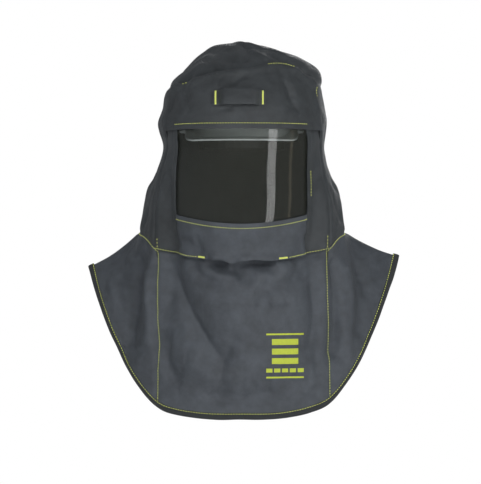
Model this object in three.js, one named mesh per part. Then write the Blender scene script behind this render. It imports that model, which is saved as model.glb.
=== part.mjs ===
// Arc flash hood: a sewn hood with a wide curved window, a cape over the shoulders and a hard hat inside.
// Millimetres, +Z up, the window faces -Y. The origin is where the crown of the wearer's head sits.
import * as THREE from "three";

// Driving sizes of the sewn hood, measured from the head seat.
const crownHeight = 74;
const neckDrop = 273;
const chinDrop = 325;
const napeDrop = 292;
const hoodHalfWidth = 155;
const neckHalfWidth = 189;
const faceReach = 191;
const napeReach = 151;
const crownLean = 17;

// The front keeps its plain curve, where the shield holds it, and starts to flare out between these angles.
const flareStart = 44;
const flareFull = 60;

// The neck seam rises in front of the shoulders, and most just beside the window's strips.
const neckRise = 15;
const neckRiseBend = 0.65;

// Driving sizes of the cape.
const shoulderHalfWidth = 287;
const shoulderDrop = 328;
const shoulderTilt = 10;
const shoulderDip = 5;
const capeLean = 4;
const bibDrop = 609;
const bibReach = 165;
const chestBulge = 9;
const capeDrop = 596;
const capeReach = 158;
const bladeBulge = 8;
const bindingWidth = 10;
const bindingThickness = 4.4;

// Cloth and seams.
const clothThickness = 2.2;
const seamGap = 0.3;
const foldDepth = 10;
const foldWidth = 22;

// Window and shield.
const windowHalfWidth = 117.5;
const windowTop = 91;
const windowBottom = 260;
const windowBottomRise = 17;
const shieldThickness = 2;
const shieldLap = 20;
const shieldSideLap = 9;
const shieldClearance = 1.1;

// Seams round the face, as angles from straight ahead.
const stripAngle = 57;
const stripTopLean = 1;
const chinAngle = 43;
const princessHemAngle = 49;
const princessTurn = 0.6;
const backSeamAngle = 128;

// Lamp loop on the forehead.
const loopWidth = 27;
const loopLength = 93;
const loopShift = -4;
const loopDrop = 37;
const loopThickness = 1.8;
const loopStandOff = 7.5;
const loopTackWidth = 9;
const loopRise = 13.5;
const loopClearance = 0.8;

// Hard hat, with its top above the head seat and its rim below it.
const hatTop = 50;
const hatRimDrop = 110;
const hatHalfWidth = 106;
const hatHalfLength = 124;
const hatThickness = 2.6;
const visorReach = 42;
const rimReach = 9;
const rimLift = 22;
const brimSlope = 0.16;
const visorFullAngle = 32;
const visorEndAngle = 57;
const hatCorner = 2.2;

// Suspension inside the hat, and the carrier that joins the hat to the shield.
const bandHalfWidth = 78;
const bandHalfLength = 98;
const bandDrop = 122;
const bandHeight = 38;
const bandThickness = 2;
const bandCorner = 2;
const strapWidth = 20;
const strapThickness = 1.5;
const hangerWidth = 14;
const hangerHeight = 10;
const hangerSink = 2.5;
const hangerAngle = 45;
const hangerClearance = 0.5;
const carrierDrop = 75;
const carrierThickness = 3;
const carrierAngle = 36;
const curveClearance = 1.3;
const fitClearance = 0.4;

// Faces along each panel.
const chinColumns = 16;
const stripColumns = 3;
const shoulderColumns = 8;
const backColumns = 10;
const crownRows = 5;
const foreheadRows = 6;
const windowRows = 6;
const chinRows = 3;
const stripRows = windowRows + chinRows;
const shieldRows = 8;
const capeRows = 12;
const backCapeRows = 9;
const loopColumns = 14;
const hatColumns = 24;
const bandColumns = 40;
const strapColumns = 13;
const carrierColumns = 12;
const carrierRows = 3;

// Turns a table with named columns into one object for each row.
function table(columns, rows) {
  return rows.map((row) => Object.fromEntries(columns.map((name, i) => [name, row[i]])));
}

// Level runs from the top of the crown, 0, to the neck seam, 1. Fall is the share of the way down to the
// neck, width, front and back are shares of their driving sizes, and flare is how far the width has gone
// over to that of the neck. Dip is how far the front and back have sunk towards the chin and nape seams.
const SECTIONS = table(
  ["level", "fall", "width", "flare", "front", "back", "lean", "corner", "dip"],
  [
    [0.0, 0.0, 0.001, 0, 0.001, 0.001, -0.5, 2.0, 0],
    [0.09, 0.015, 0.26, 0, 0.25, 0.31, -0.5, 2.0, 0],
    [0.16, 0.046, 0.46, 0, 0.4, 0.52, 0.15, 2.0, 0],
    [0.24, 0.083, 0.65, 0, 0.56, 0.7, 0.8, 2.1, 0],
    [0.3, 0.141, 0.8, 0, 0.71, 0.84, 1.0, 2.2, 0],
    [0.36, 0.204, 0.89, 0, 0.82, 0.93, 0.6, 2.2, 0],
    [0.41, 0.267, 0.925, 0, 0.9, 0.97, 0.25, 2.3, 0],
    [0.47, 0.345, 0.95, 0, 0.96, 0.99, 0.25, 2.4, 0],
    [0.54, 0.428, 0.995, 0, 0.99, 1.0, 0.1, 2.5, 0],
    [0.64, 0.555, 0.955, 0, 1.0, 0.98, 0.25, 2.5, 0.02],
    [0.75, 0.684, 0.955, 0.3, 1.0, 0.93, 0.1, 2.5, 0.1],
    [0.85, 0.81, 0.955, 0.63, 0.995, 0.87, 0.1, 2.5, 0.17],
    [0.92, 0.905, 0.955, 0.79, 0.985, 0.83, 0.1, 2.4, 0.52],
    [1.0, 1.0, 0.955, 1.0, 0.9, 0.82, 0.05, 2.3, 1.0],
  ],
);

// The hem by angle from straight ahead or behind: how far its reach and its drop have gone between those of
// the shoulder's tip and those of the middle.
const HEM = table(
  ["angle", "reach", "drop"],
  [
    [0, 0, 1],
    [22, 0.08, 0.996],
    [39, 0.23, 0.964],
    [48.5, 0.344, 0.915],
    [59, 0.484, 0.765],
    [69.5, 0.623, 0.56],
    [80, 0.828, 0.263],
    [90, 1, 0],
  ],
);

// Where the crown is sewn on, by angle, as a share of the crown's height above the head seat.
const CROWN_SEAM = table(
  ["angle", "height"],
  [
    [-180, 0.1],
    [-128, 0.02],
    [-90, -0.12],
    [-60, -0.1],
    [-40, 0.04],
    [-20, 0.22],
    [0, 0.3],
    [22, 0.42],
    [40, 0.3],
    [60, 0.0],
    [90, -0.12],
    [128, 0.02],
    [180, 0.1],
  ],
);

// Folds seen from the front, each through three points: across is a share of the shoulder's half width and
// down a share of the bib's drop. Depth and width are shares of their driving sizes, and a ridge has a depth
// above zero.
const FRONT_FOLDS = table(
  ["across1", "down1", "across2", "down2", "across3", "down3", "depth", "width"],
  [
    // Bib: the long fold from the left, its ridge, and the short one that meets it.
    [-0.46, 0.54, -0.37, 0.66, -0.15, 0.82, -1.0, 0.8],
    [-0.49, 0.62, -0.42, 0.74, -0.25, 0.87, 0.55, 1.3],
    [0.24, 0.58, 0.02, 0.7, -0.14, 0.83, 0.6, 1.6],
    [-0.05, 0.77, -0.13, 0.84, -0.13, 0.91, -0.5, 0.7],
    [-0.5, 0.76, -0.46, 0.82, -0.42, 0.87, -0.6, 0.7],
    // Bib: under the chin seam, to the left, at the middle and to the right.
    [-0.3, 0.55, -0.26, 0.585, -0.16, 0.6, -0.5, 0.6],
    [-0.2, 0.55, -0.06, 0.565, 0.04, 0.585, -0.7, 0.6],
    [-0.02, 0.55, 0.1, 0.55, 0.2, 0.56, -0.6, 0.5],
    [0.36, 0.56, 0.28, 0.6, 0.2, 0.625, -0.55, 0.7],
    [0.14, 0.615, 0.09, 0.645, 0.06, 0.68, -0.35, 0.6],
    // Bib: beside the right seam and at the hem.
    [0.44, 0.62, 0.47, 0.7, 0.42, 0.8, -0.45, 0.7],
    [-0.18, 0.93, -0.05, 0.945, 0.17, 0.915, -0.5, 0.8],
    // Left wing: broad valley, ridge beside the seam and a shallow outer fold.
    [-0.63, 0.55, -0.66, 0.66, -0.7, 0.77, -1.1, 1.1],
    [-0.59, 0.58, -0.59, 0.67, -0.57, 0.76, 0.6, 0.6],
    [-0.83, 0.59, -0.78, 0.67, -0.74, 0.72, 0.35, 1.0],
    // Right wing: two valleys with a ridge between them, and a short fold on the shoulder.
    [0.58, 0.56, 0.6, 0.68, 0.57, 0.8, -0.8, 0.7],
    [0.64, 0.56, 0.67, 0.68, 0.63, 0.8, -0.9, 0.9],
    [0.72, 0.57, 0.75, 0.66, 0.71, 0.74, 0.5, 1.0],
    // Chin: a soft dent at each lower corner.
    [-0.42, 0.47, -0.36, 0.49, -0.28, 0.5, -0.35, 0.8],
    [0.42, 0.45, 0.4, 0.475, 0.36, 0.49, -0.4, 0.7],
    // Forehead: creases either side of the lamp loop.
    [-0.33, -0.01, -0.345, 0.02, -0.35, 0.06, -0.4, 0.5],
    [0.26, -0.005, 0.3, 0.03, 0.31, 0.08, -0.35, 0.5],
  ],
);

// Folds at the sides, the back and the crown, each through three points on the surface.
const ROUND_FOLDS = table(
  ["angle1", "level1", "angle2", "level2", "angle3", "level3", "depth", "width"],
  [
    [-75, 0.56, -82, 0.66, -78, 0.76, -0.6, 0.9],
    [75, 0.58, 82, 0.67, 78, 0.78, -0.6, 0.9],
    [-100, 0.7, -108, 0.85, -112, 1.1, -0.8, 1.0],
    [100, 0.7, 108, 0.85, 112, 1.1, -0.8, 1.0],
    [-85, 0.82, -78, 0.92, -72, 1.02, 0.5, 0.8],
    [85, 0.82, 78, 0.92, 72, 1.02, 0.5, 0.8],
    [150, 0.75, 160, 1.0, 158, 1.5, -0.8, 1.1],
    [-150, 0.8, -158, 1.05, -160, 1.6, -0.8, 1.1],
    [178, 0.7, 176, 1.1, 182, 1.8, 0.6, 1.4],
    [132, 1.2, 136, 1.5, 138, 1.9, -0.7, 1.0],
    [-132, 1.2, -136, 1.5, -138, 1.9, -0.7, 1.0],
    [10, 0.06, 30, 0.14, 34, 0.24, 0.5, 0.5],
    [-50, 0.14, -70, 0.22, -78, 0.3, -0.4, 0.8],
    [60, 0.2, 80, 0.26, 95, 0.32, -0.5, 0.8],
    [140, 0.12, 160, 0.22, 168, 0.34, -0.4, 0.9],
  ],
);

const radians = THREE.MathUtils.degToRad;
const clamp = THREE.MathUtils.clamp;
const mix = THREE.MathUtils.lerp;

// A smooth curve through a table's rows: the wanted column where the other column has the value at.
function smooth(rows, along, wanted, at) {
  const last = rows.length - 1;
  let i = 0;
  while (i < last - 1 && at > rows[i + 1][along]) i++;
  const slope = (k) => {
    const before = rows[Math.max(k - 1, 0)];
    const after = rows[Math.min(k + 1, last)];
    return (after[wanted] - before[wanted]) / (after[along] - before[along]);
  };
  const span = rows[i + 1][along] - rows[i][along];
  const t = clamp((at - rows[i][along]) / span, 0, 1);
  const start = rows[i][wanted];
  const rise = rows[i + 1][wanted] - start;
  const leave = slope(i) * span;
  const arrive = slope(i + 1) * span;
  return start + t * (leave + t * (3 * rise - 2 * leave - arrive + t * (leave + arrive - 2 * rise)));
}

// The smallest reach of a section, so that the top of the crown is a point.
const pointReach = 1e-3;

// The reach of a rounded section at an angle; corner is 2 for an ellipse and more for a squarer one.
function rounded(angle, halfWidth, depth, corner) {
  const across = Math.abs(Math.sin(radians(angle))) / halfWidth;
  const ahead = Math.abs(Math.cos(radians(angle))) / depth;
  return (across ** corner + ahead ** corner) ** (-1 / corner);
}

function facesFront(angle) {
  return Math.cos(radians(angle)) > 0;
}

// How much of a drop at the middle of the front or back is left at an angle.
function middleShare(angle) {
  const bend = 1.3;
  return 1 - (1 - Math.abs(Math.cos(radians(angle)))) ** bend;
}

function flareShare(angle) {
  if (!facesFront(angle)) return 1;
  const sideways = Math.abs(Math.sin(radians(angle)));
  return THREE.MathUtils.smoothstep(sideways, Math.sin(radians(flareStart)), Math.sin(radians(flareFull)));
}

// A point of the hood above the neck seam, as reach, height and sideways lean.
function hoodSection(angle, level) {
  const at = (name) => smooth(SECTIONS, "level", name, level);
  const halfWidth = mix(hoodHalfWidth * at("width"), neckHalfWidth, at("flare") * flareShare(angle));
  const depth = facesFront(angle) ? faceReach * at("front") : napeReach * at("back");
  const sink = (facesFront(angle) ? chinDrop : napeDrop) - neckDrop;
  return {
    reach: rounded(angle, Math.max(halfWidth, pointReach), Math.max(depth, pointReach), at("corner")),
    height: crownHeight - at("fall") * (crownHeight + neckDrop) - at("dip") * sink * middleShare(angle),
    lean: crownLean * at("lean"),
  };
}

// A point of the hem, as reach and height.
function hemSection(angle) {
  const turned = Math.abs(((angle + 540) % 360) - 180);
  const fromMiddle = turned > 90 ? 180 - turned : turned;
  const share = (name) => smooth(HEM, "angle", name, fromMiddle);
  const middleReach = facesFront(angle) ? bibReach : capeReach;
  const middleDrop = facesFront(angle) ? bibDrop : capeDrop;
  return {
    reach: mix(middleReach, shoulderHalfWidth, share("reach")),
    height: -mix(shoulderDrop, middleDrop, share("drop")),
  };
}

// The share of the cape, from the neck down, over which the hood's lean becomes the cape's.
const leanRun = 0.5;

// The smooth form of the whole hood and cape: level 1 is the neck seam and level 2 the hem.
function form(angle, level) {
  const upper = hoodSection(angle, Math.min(level, 1));
  const sideways = Math.sin(radians(angle));
  const ahead = Math.cos(radians(angle));
  let { reach, height, lean } = upper;
  if (level > 1) {
    const t = level - 1;
    const hem = hemSection(angle);
    const swell = Math.sin(Math.PI * Math.min(t, 1));
    const bulge = ahead > 0 ? chestBulge : bladeBulge;
    reach = mix(reach, hem.reach, t) + bulge * swell * ahead ** 2;
    height = mix(height, hem.height, t) - shoulderDip * swell * sideways ** 4;
    height += shoulderTilt * t * sideways ** 3;
    lean = mix(lean, capeLean, Math.min(t / leanRun, 1));
  }
  return new THREE.Vector3(lean + reach * sideways, -reach * ahead, height);
}

// The outward normal of a surface of angle and level.
function normalOf(surface, angle, level) {
  const step = 0.004;
  if (level < step) return new THREE.Vector3(0, 0, 1);
  const turn = 0.4;
  const across = surface(angle + turn, level).sub(surface(angle - turn, level));
  const down = surface(angle, level + step).sub(surface(angle, level - step));
  return down.cross(across).normalize();
}

// The value between low and high where a falling measure reaches the target.
function fallsTo(measure, low, high, target) {
  const halvings = 40;
  for (let i = 0; i < halvings; i++) {
    const middle = (low + high) / 2;
    if (measure(middle) > target) low = middle;
    else high = middle;
  }
  return (low + high) / 2;
}

function levelAt(surface, angle, height, lowest) {
  return fallsTo((level) => surface(angle, level).z, 0, lowest, height);
}

// The angle and level of a point of the front that is seen at a place across and a height.
function onFront(across, height) {
  const level = (angle) => levelAt(form, angle, height, 2);
  const angle = fallsTo((turn) => -form(turn, level(turn)).x, -90, 90, -across);
  return [angle, level(angle)];
}

function foldPath(ends) {
  const steps = 6;
  const at = (i, k) => {
    const t = i / steps;
    return (1 - t) ** 2 * ends[0][k] + 2 * t * (1 - t) * ends[1][k] + t ** 2 * ends[2][k];
  };
  return Array.from({ length: steps + 1 }, (_, i) => form(at(i, 0), at(i, 1)));
}

const folds = [
  ...FRONT_FOLDS.map((fold) => ({
    ...fold,
    path: foldPath(
      [1, 2, 3].map((k) => onFront(fold["across" + k] * shoulderHalfWidth, -fold["down" + k] * bibDrop)),
    ),
  })),
  ...ROUND_FOLDS.map((fold) => ({
    ...fold,
    path: foldPath([1, 2, 3].map((k) => [fold["angle" + k], fold["level" + k]])),
  })),
];

function distanceToPath(point, path) {
  let nearest = Infinity;
  const foot = new THREE.Vector3();
  for (let i = 1; i < path.length; i++) {
    new THREE.Line3(path[i - 1], path[i]).closestPointToPoint(point, true, foot);
    nearest = Math.min(nearest, foot.distanceTo(point));
  }
  return nearest;
}

// The share of the folds that is left at a point: the shield keeps the cloth flat round the window.
function looseness(point) {
  if (point.y > 0) return 1;
  const beside = Math.abs(point.x) - windowHalfWidth - shieldLap;
  const above = point.z + windowTop - shieldLap;
  const below = -windowBottom - shieldLap / 2 - point.z;
  const clear = Math.max(beside, above, below, 0);
  return THREE.MathUtils.smoothstep(clear, 0, shieldLap);
}

// How far the folds lift the cloth at a point.
function relief(point) {
  let lift = 0;
  for (const fold of folds) {
    const share = distanceToPath(point, fold.path) / (fold.width * foldWidth);
    lift += fold.depth * foldDepth * Math.exp(-share * share);
  }
  return lift * looseness(point);
}

// The middle of the cloth, folds and all.
function cloth(angle, level) {
  const point = form(angle, level);
  return point.clone().addScaledVector(normalOf(form, angle, level), relief(point));
}

// A closed solid between two faces that lie thickness apart about a grid of places.
function plate(places, thickness, round = false) {
  const rows = places.length;
  const columns = places[0].length;
  const positions = [];
  const ids = new Map();
  const keyScale = 1e4;
  const vertex = (row, column, side) => {
    const { point, normal } = places[row][column % columns];
    const p = point.clone().addScaledVector(normal, (side * thickness) / 2);
    const key = p.toArray().map((value) => Math.round(value * keyScale)).join();
    if (!ids.has(key)) {
      ids.set(key, ids.size);
      positions.push(p.x, p.y, p.z);
    }
    return ids.get(key);
  };
  const triangles = [];
  const quad = (a, b, c, d) => {
    for (const [p, q, r] of [[a, b, c], [a, c, d]]) {
      if (p !== q && q !== r && r !== p) triangles.push(p, q, r);
    }
  };
  const lastColumn = round ? columns : columns - 1;
  for (let r = 0; r < rows - 1; r++) {
    for (let c = 0; c < lastColumn; c++) {
      const outer = [vertex(r, c, 1), vertex(r + 1, c, 1), vertex(r + 1, c + 1, 1), vertex(r, c + 1, 1)];
      const inner = [vertex(r, c, -1), vertex(r, c + 1, -1), vertex(r + 1, c + 1, -1), vertex(r + 1, c, -1)];
      quad(...outer);
      quad(...inner);
    }
  }
  for (let c = 0; c < lastColumn; c++) {
    const foot = rows - 1;
    quad(vertex(0, c, 1), vertex(0, c + 1, 1), vertex(0, c + 1, -1), vertex(0, c, -1));
    quad(vertex(foot, c, 1), vertex(foot, c, -1), vertex(foot, c + 1, -1), vertex(foot, c + 1, 1));
  }
  for (let r = 0; r < rows - 1 && !round; r++) {
    quad(vertex(r, 0, 1), vertex(r, 0, -1), vertex(r + 1, 0, -1), vertex(r + 1, 0, 1));
    const end = columns - 1;
    quad(vertex(r, end, 1), vertex(r + 1, end, 1), vertex(r + 1, end, -1), vertex(r, end, -1));
  }
  const geometry = new THREE.BufferGeometry();
  geometry.setAttribute("position", new THREE.Float32BufferAttribute(positions, 3));
  geometry.setIndex(triangles);
  geometry.computeVertexNormals();
  return geometry;
}

function placesOn(surface, grid) {
  return grid.map((row) =>
    row.map(([angle, level]) => ({
      point: surface(angle, level),
      normal: normalOf(surface, angle, level),
    })),
  );
}

function toward(from, to, share) {
  return [mix(from[0], to[0], share), mix(from[1], to[1], share)];
}

// Moves a panel's outermost places inwards by half the seam gap.
function insetForSeams(grid, sides) {
  const moved = grid.map((row) => row.map((place) => [...place]));
  const pull = (edge, next) => {
    const length = form(...edge).distanceTo(form(...next));
    return toward(edge, next, seamGap / 2 / length);
  };
  const lastRow = grid.length - 1;
  const lastColumn = grid[0].length - 1;
  if (sides) {
    moved.forEach((row) => {
      row[0] = pull(row[0], row[1]);
      row[lastColumn] = pull(row[lastColumn], row[lastColumn - 1]);
    });
  }
  for (let c = 0; c <= lastColumn; c++) {
    if (moved[0][c][1] > 0) moved[0][c] = pull(moved[0][c], moved[1][c]);
    moved[lastRow][c] = pull(moved[lastRow][c], moved[lastRow - 1][c]);
  }
  return moved;
}

// Fills in the grid of angles and levels between a panel's four seams.
function between(top, bottom, left, right) {
  return left.map((_, r) =>
    top.map((_, c) => {
      const s = c / (top.length - 1);
      const t = r / (left.length - 1);
      return [0, 1].map((k) => {
        const ruled = mix(top[c][k], bottom[c][k], t) + mix(left[r][k], right[r][k], s);
        const corners = mix(mix(top[0][k], top.at(-1)[k], s), mix(bottom[0][k], bottom.at(-1)[k], s), t);
        return ruled - corners;
      });
    }),
  );
}

function spaced(from, to, count) {
  return Array.from({ length: count + 1 }, (_, i) => mix(from, to, i / count));
}

function straight(from, to, count) {
  return spaced(0, 1, count).map((share) => toward(from, to, share));
}

function panel(top, bottom, left, right) {
  const grid = insetForSeams(between(top, bottom, left, right), true);
  return plate(placesOn(cloth, grid), clothThickness);
}

// Seams round the window, on each side: -1 is the left of a front view and 1 its right.
const windowCorner = (side) => ({
  top: onFront(side * windowHalfWidth, -windowTop),
  bottom: onFront(side * windowHalfWidth, -(windowBottom - windowBottomRise)),
});
const leftCorner = windowCorner(-1);
const rightCorner = windowCorner(1);

// A level near the window's bottom edge.
const chinLevel = 0.9;

const windowTopSeam = spaced(leftCorner.top[0], rightCorner.top[0], chinColumns).map((angle) => [
  angle,
  levelAt(form, angle, -windowTop, 1),
]);
const windowBottomSeam = spaced(leftCorner.bottom[0], rightCorner.bottom[0], chinColumns).map((angle) => {
  const fromMiddle = form(angle, chinLevel).x / windowHalfWidth;
  return [angle, levelAt(form, angle, -windowBottom + windowBottomRise * fromMiddle ** 2, 1)];
});

// The neck seam goes all round near level 1, and its places are shared by the panels above and below it.
const neckAngles = {
  chin: spaced(-chinAngle, chinAngle, chinColumns),
  strip: spaced(chinAngle, stripAngle, stripColumns),
  front: spaced(stripAngle, 90, shoulderColumns),
  rear: spaced(90, backSeamAngle, shoulderColumns),
  back: spaced(backSeamAngle, 360 - backSeamAngle, backColumns),
};
const neckLevel = (angle) => {
  const share = (Math.abs(angle) - stripAngle) / (90 - stripAngle);
  if (share <= 0 || share >= 1) return 1;
  const rise = neckRise * Math.sin(Math.PI * share ** neckRiseBend);
  return levelAt(form, angle, form(angle, 1).z + rise, 1);
};
const atNeck = (angles) => angles.map((angle) => [angle, neckLevel(angle)]);
const mirrored = (places) => places.map(([angle, level]) => [-angle, level]).reverse();
const joined = (...runs) => runs.reduce((all, run) => [...all, ...run.slice(1)]);

// Edge of the forehead and of the strip beside the window, on the right of a front view.
const stripTopAngle = stripAngle - stripTopLean;
const stripTop = [stripTopAngle, levelAt(form, stripTopAngle, -windowTop, 1)];
const crownSeamLevel = (angle) => {
  const turned = angle > 180 ? angle - 360 : angle;
  const height = smooth(CROWN_SEAM, "angle", "height", turned) * crownHeight;
  return levelAt(form, angle, height, 1);
};
const onCrownSeam = (angles) => angles.map((angle) => [angle, crownSeamLevel(angle)]);
const foreheadEdge = (side) => {
  const angle = side * stripAngle;
  return straight([angle, crownSeamLevel(angle)], [side * stripTop[0], stripTop[1]], foreheadRows);
};
const stripEdge = (side) => straight([side * stripTop[0], stripTop[1]], [side * stripAngle, 1], stripRows);
const stripInner = (side) => {
  const corner = side < 0 ? leftCorner : rightCorner;
  return joined(
    straight(corner.top, corner.bottom, windowRows),
    straight(corner.bottom, [side * chinAngle, 1], chinRows),
  );
};

const foreheadAngles = joined(
  neckAngles.strip.map((angle) => -angle).reverse(),
  neckAngles.chin,
  neckAngles.strip,
);
const stripTopRun = (side) => {
  const corner = side < 0 ? leftCorner : rightCorner;
  return straight(corner.top, [side * stripTop[0], stripTop[1]], stripColumns);
};

function foreheadPanel() {
  const bottom = joined([...stripTopRun(-1)].reverse(), windowTopSeam, stripTopRun(1));
  return panel(onCrownSeam(foreheadAngles), bottom, foreheadEdge(-1), foreheadEdge(1));
}

function windowStrip(side) {
  const top = stripTopRun(side);
  const bottom = atNeck(neckAngles.strip.map((angle) => side * angle));
  if (side > 0) return panel(top, bottom, stripInner(1), stripEdge(1));
  return panel([...top].reverse(), [...bottom].reverse(), stripEdge(-1), stripInner(-1));
}

function chinPanel() {
  const edge = (side) => stripInner(side).slice(-chinRows - 1);
  return panel(windowBottomSeam, atNeck(neckAngles.chin), edge(-1), edge(1));
}

function backEdge(side) {
  const angle = side * backSeamAngle;
  return straight([angle, crownSeamLevel(angle)], [angle, 1], foreheadRows + stripRows);
}

function sidePanel(side) {
  const angles = joined(neckAngles.front, neckAngles.rear);
  const front = joined(foreheadEdge(side), stripEdge(side));
  if (side > 0) return panel(onCrownSeam(angles), atNeck(angles), front, backEdge(1));
  const turned = angles.map((angle) => -angle).reverse();
  return panel(onCrownSeam(turned), atNeck(turned), backEdge(-1), front);
}

function backPanel() {
  const angles = neckAngles.back;
  const far = backEdge(-1).map(([angle, level]) => [angle + 360, level]);
  return panel(onCrownSeam(angles), atNeck(angles), backEdge(1), far);
}

function crownPanel() {
  const front = joined(neckAngles.front, neckAngles.rear);
  const angles = joined(
    foreheadAngles,
    front,
    neckAngles.back,
    front.map((angle) => 360 - angle).reverse(),
  ).slice(0, -1);
  const seam = onCrownSeam(angles);
  const grid = spaced(0, 1, crownRows).map((share) => seam.map(([angle, level]) => [angle, level * share]));
  return plate(placesOn(cloth, insetForSeams(grid, false)), clothThickness, true);
}

// The level where the cloth ends and its binding starts.
function clothEndLevel(angle) {
  const length = form(angle, 2).distanceTo(form(angle, 1));
  return 2 - bindingWidth / length;
}
const atHem = (angles) => angles.map((angle) => [angle, clothEndLevel(angle)]);

const hemAngles = {
  bib: foreheadAngles.map((angle) => (angle * princessHemAngle) / stripAngle),
  front: spaced(princessHemAngle, 90, shoulderColumns),
  rear: spaced(90, 180 - princessHemAngle, shoulderColumns),
  back: spaced(180 - princessHemAngle, 180 + princessHemAngle, backColumns),
};

// The princess seam runs from the neck seam to the hem and bends in just under the neck.
function princessSeam(rows, from, to) {
  const end = clothEndLevel(to);
  return spaced(0, 1, rows).map((share) => [mix(from, to, share ** princessTurn), mix(1, end, share)]);
}

function shoulderLine(angle, rows) {
  return straight([angle, 1], [angle, clothEndLevel(angle)], rows);
}

function bib() {
  const seam = princessSeam(capeRows, stripAngle, princessHemAngle);
  const left = seam.map(([angle, level]) => [-angle, level]);
  return panel(atNeck(foreheadAngles), atHem(hemAngles.bib), left, seam);
}

function frontWing(side) {
  const grid = [
    atNeck(neckAngles.front),
    atHem(hemAngles.front),
    princessSeam(capeRows, stripAngle, princessHemAngle),
    shoulderLine(90, capeRows),
  ];
  if (side > 0) return panel(...grid);
  const [top, bottom, inner, outer] = grid;
  const flip = (places) => places.map(([angle, level]) => [-angle, level]);
  return panel(mirrored(top), mirrored(bottom), flip(outer), flip(inner));
}

function rearWing(side) {
  const top = atNeck(neckAngles.rear);
  const bottom = atHem(hemAngles.rear);
  const outer = shoulderLine(90, backCapeRows);
  const inner = princessSeam(backCapeRows, backSeamAngle, 180 - princessHemAngle);
  if (side > 0) return panel(top, bottom, outer, inner);
  const flip = (places) => places.map(([angle, level]) => [-angle, level]);
  return panel(mirrored(top), mirrored(bottom), flip(inner), flip(outer));
}

function backCape() {
  const near = princessSeam(backCapeRows, backSeamAngle, 180 - princessHemAngle);
  const far = near.map(([angle, level]) => [360 - angle, level]);
  return panel(atNeck(neckAngles.back), atHem(hemAngles.back), near, far);
}

// One tape round the whole hem, past the end of the cloth.
function hemBinding() {
  const side = joined(hemAngles.front, hemAngles.rear);
  const angles = joined(
    hemAngles.bib,
    side,
    hemAngles.back,
    side.map((angle) => 360 - angle).reverse(),
  ).slice(0, -1);
  const start = angles.map((angle) => {
    const level = clothEndLevel(angle);
    const share = seamGap / 2 / bindingWidth;
    return [angle, mix(level, 2, share)];
  });
  const end = angles.map((angle) => [angle, 2]);
  return plate(placesOn(cloth, [start, end]), bindingThickness, true);
}

// A surface that lies beside the hood's form at a set distance along its normal.
function beside(distance) {
  return (angle, level) => form(angle, level).addScaledVector(normalOf(form, angle, level), distance);
}

// The shield lies against the inside of the cloth and laps behind it all round the window.
const shieldDepth = clothThickness / 2 + shieldClearance + shieldThickness / 2;
function faceShield() {
  const grid = spaced(0, 1, shieldRows).map((down) =>
    spaced(-1, 1, chinColumns + 2).map((across) => {
      const rise = windowBottomRise * across ** 2;
      const height = mix(-windowTop + shieldLap, -windowBottom - shieldSideLap + rise, down);
      const [edge] = onFront(windowHalfWidth + shieldSideLap, height);
      return [across * edge, levelAt(form, across * edge, height, 1)];
    }),
  );
  return plate(placesOn(beside(-shieldDepth), grid), shieldThickness);
}

// The lamp loop is tacked at both ends and stands off the forehead between them.
function lampLoop() {
  const grid = [0.5, -0.5].map((up) =>
    spaced(-0.5, 0.5, loopColumns).map((along) => {
      const [angle, level] = onFront(loopShift + along * loopLength, -loopDrop + up * loopWidth);
      const fromTack = (0.5 - Math.abs(along)) * loopLength - loopTackWidth;
      const lift = loopStandOff * THREE.MathUtils.smoothstep(fromTack, 0, loopRise);
      const normal = normalOf(form, angle, level);
      const distance = clothThickness / 2 + loopClearance + loopThickness / 2 + lift;
      const point = form(angle, level);
      return { point: point.clone().addScaledVector(normal, distance + relief(point)), normal };
    }),
  );
  return plate(grid, loopThickness);
}

// The hat's shell from its top, level 0, to the foot of its wall, level 1, and over the brim to the rim.
const HAT = table(
  ["level", "fall", "reach"],
  [
    [0, 0, 0.001],
    [0.12, 0.02, 0.27],
    [0.25, 0.09, 0.5],
    [0.4, 0.22, 0.7],
    [0.6, 0.46, 0.88],
    [0.8, 0.74, 0.97],
    [1, 1, 1],
  ],
);
const brimLevels = 0.2;
const rimLevel = 1 + brimLevels;

// The share of the visor at an angle: all of it in front and none at the sides.
function visorShare(angle) {
  const [ends, starts] = [visorEndAngle, visorFullAngle].map((turn) => Math.cos(radians(turn)));
  return THREE.MathUtils.smoothstep(Math.cos(radians(angle)), ends, starts);
}

function hatForm(angle, level) {
  const wall = Math.min(level, 1);
  const out = Math.max(level - 1, 0) / brimLevels;
  const visor = visorShare(angle);
  const lip = mix(rimReach, visorReach, visor);
  const reach = rounded(angle, hatHalfWidth, hatHalfLength, hatCorner) * smooth(HAT, "level", "reach", wall);
  const foot = -hatRimDrop + rimLift * (1 - visor) + lip * brimSlope;
  const height = hatTop - (hatTop - foot) * smooth(HAT, "level", "fall", wall) - lip * brimSlope * out;
  const far = reach + lip * out;
  return new THREE.Vector3(far * Math.sin(radians(angle)), -far * Math.cos(radians(angle)), height);
}

function hatShell() {
  const angles = spaced(0, 360, hatColumns).slice(0, -1);
  const levels = joined(HAT.map((row) => row.level), spaced(1, rimLevel, 2));
  const grid = levels.map((level) => angles.map((angle) => [angle, level]));
  return plate(placesOn(hatForm, grid), hatThickness, true);
}

function headband() {
  const band = (angle, level) => {
    const reach = rounded(angle, bandHalfWidth, bandHalfLength, bandCorner);
    const height = -bandDrop + bandHeight * (2 - level);
    return new THREE.Vector3(reach * Math.sin(radians(angle)), -reach * Math.cos(radians(angle)), height);
  };
  const angles = spaced(0, 360, bandColumns).slice(0, -1);
  const grid = [1, 2].map((level) => angles.map((angle) => [angle, level]));
  return plate(placesOn(band, grid), bandThickness, true);
}

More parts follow.
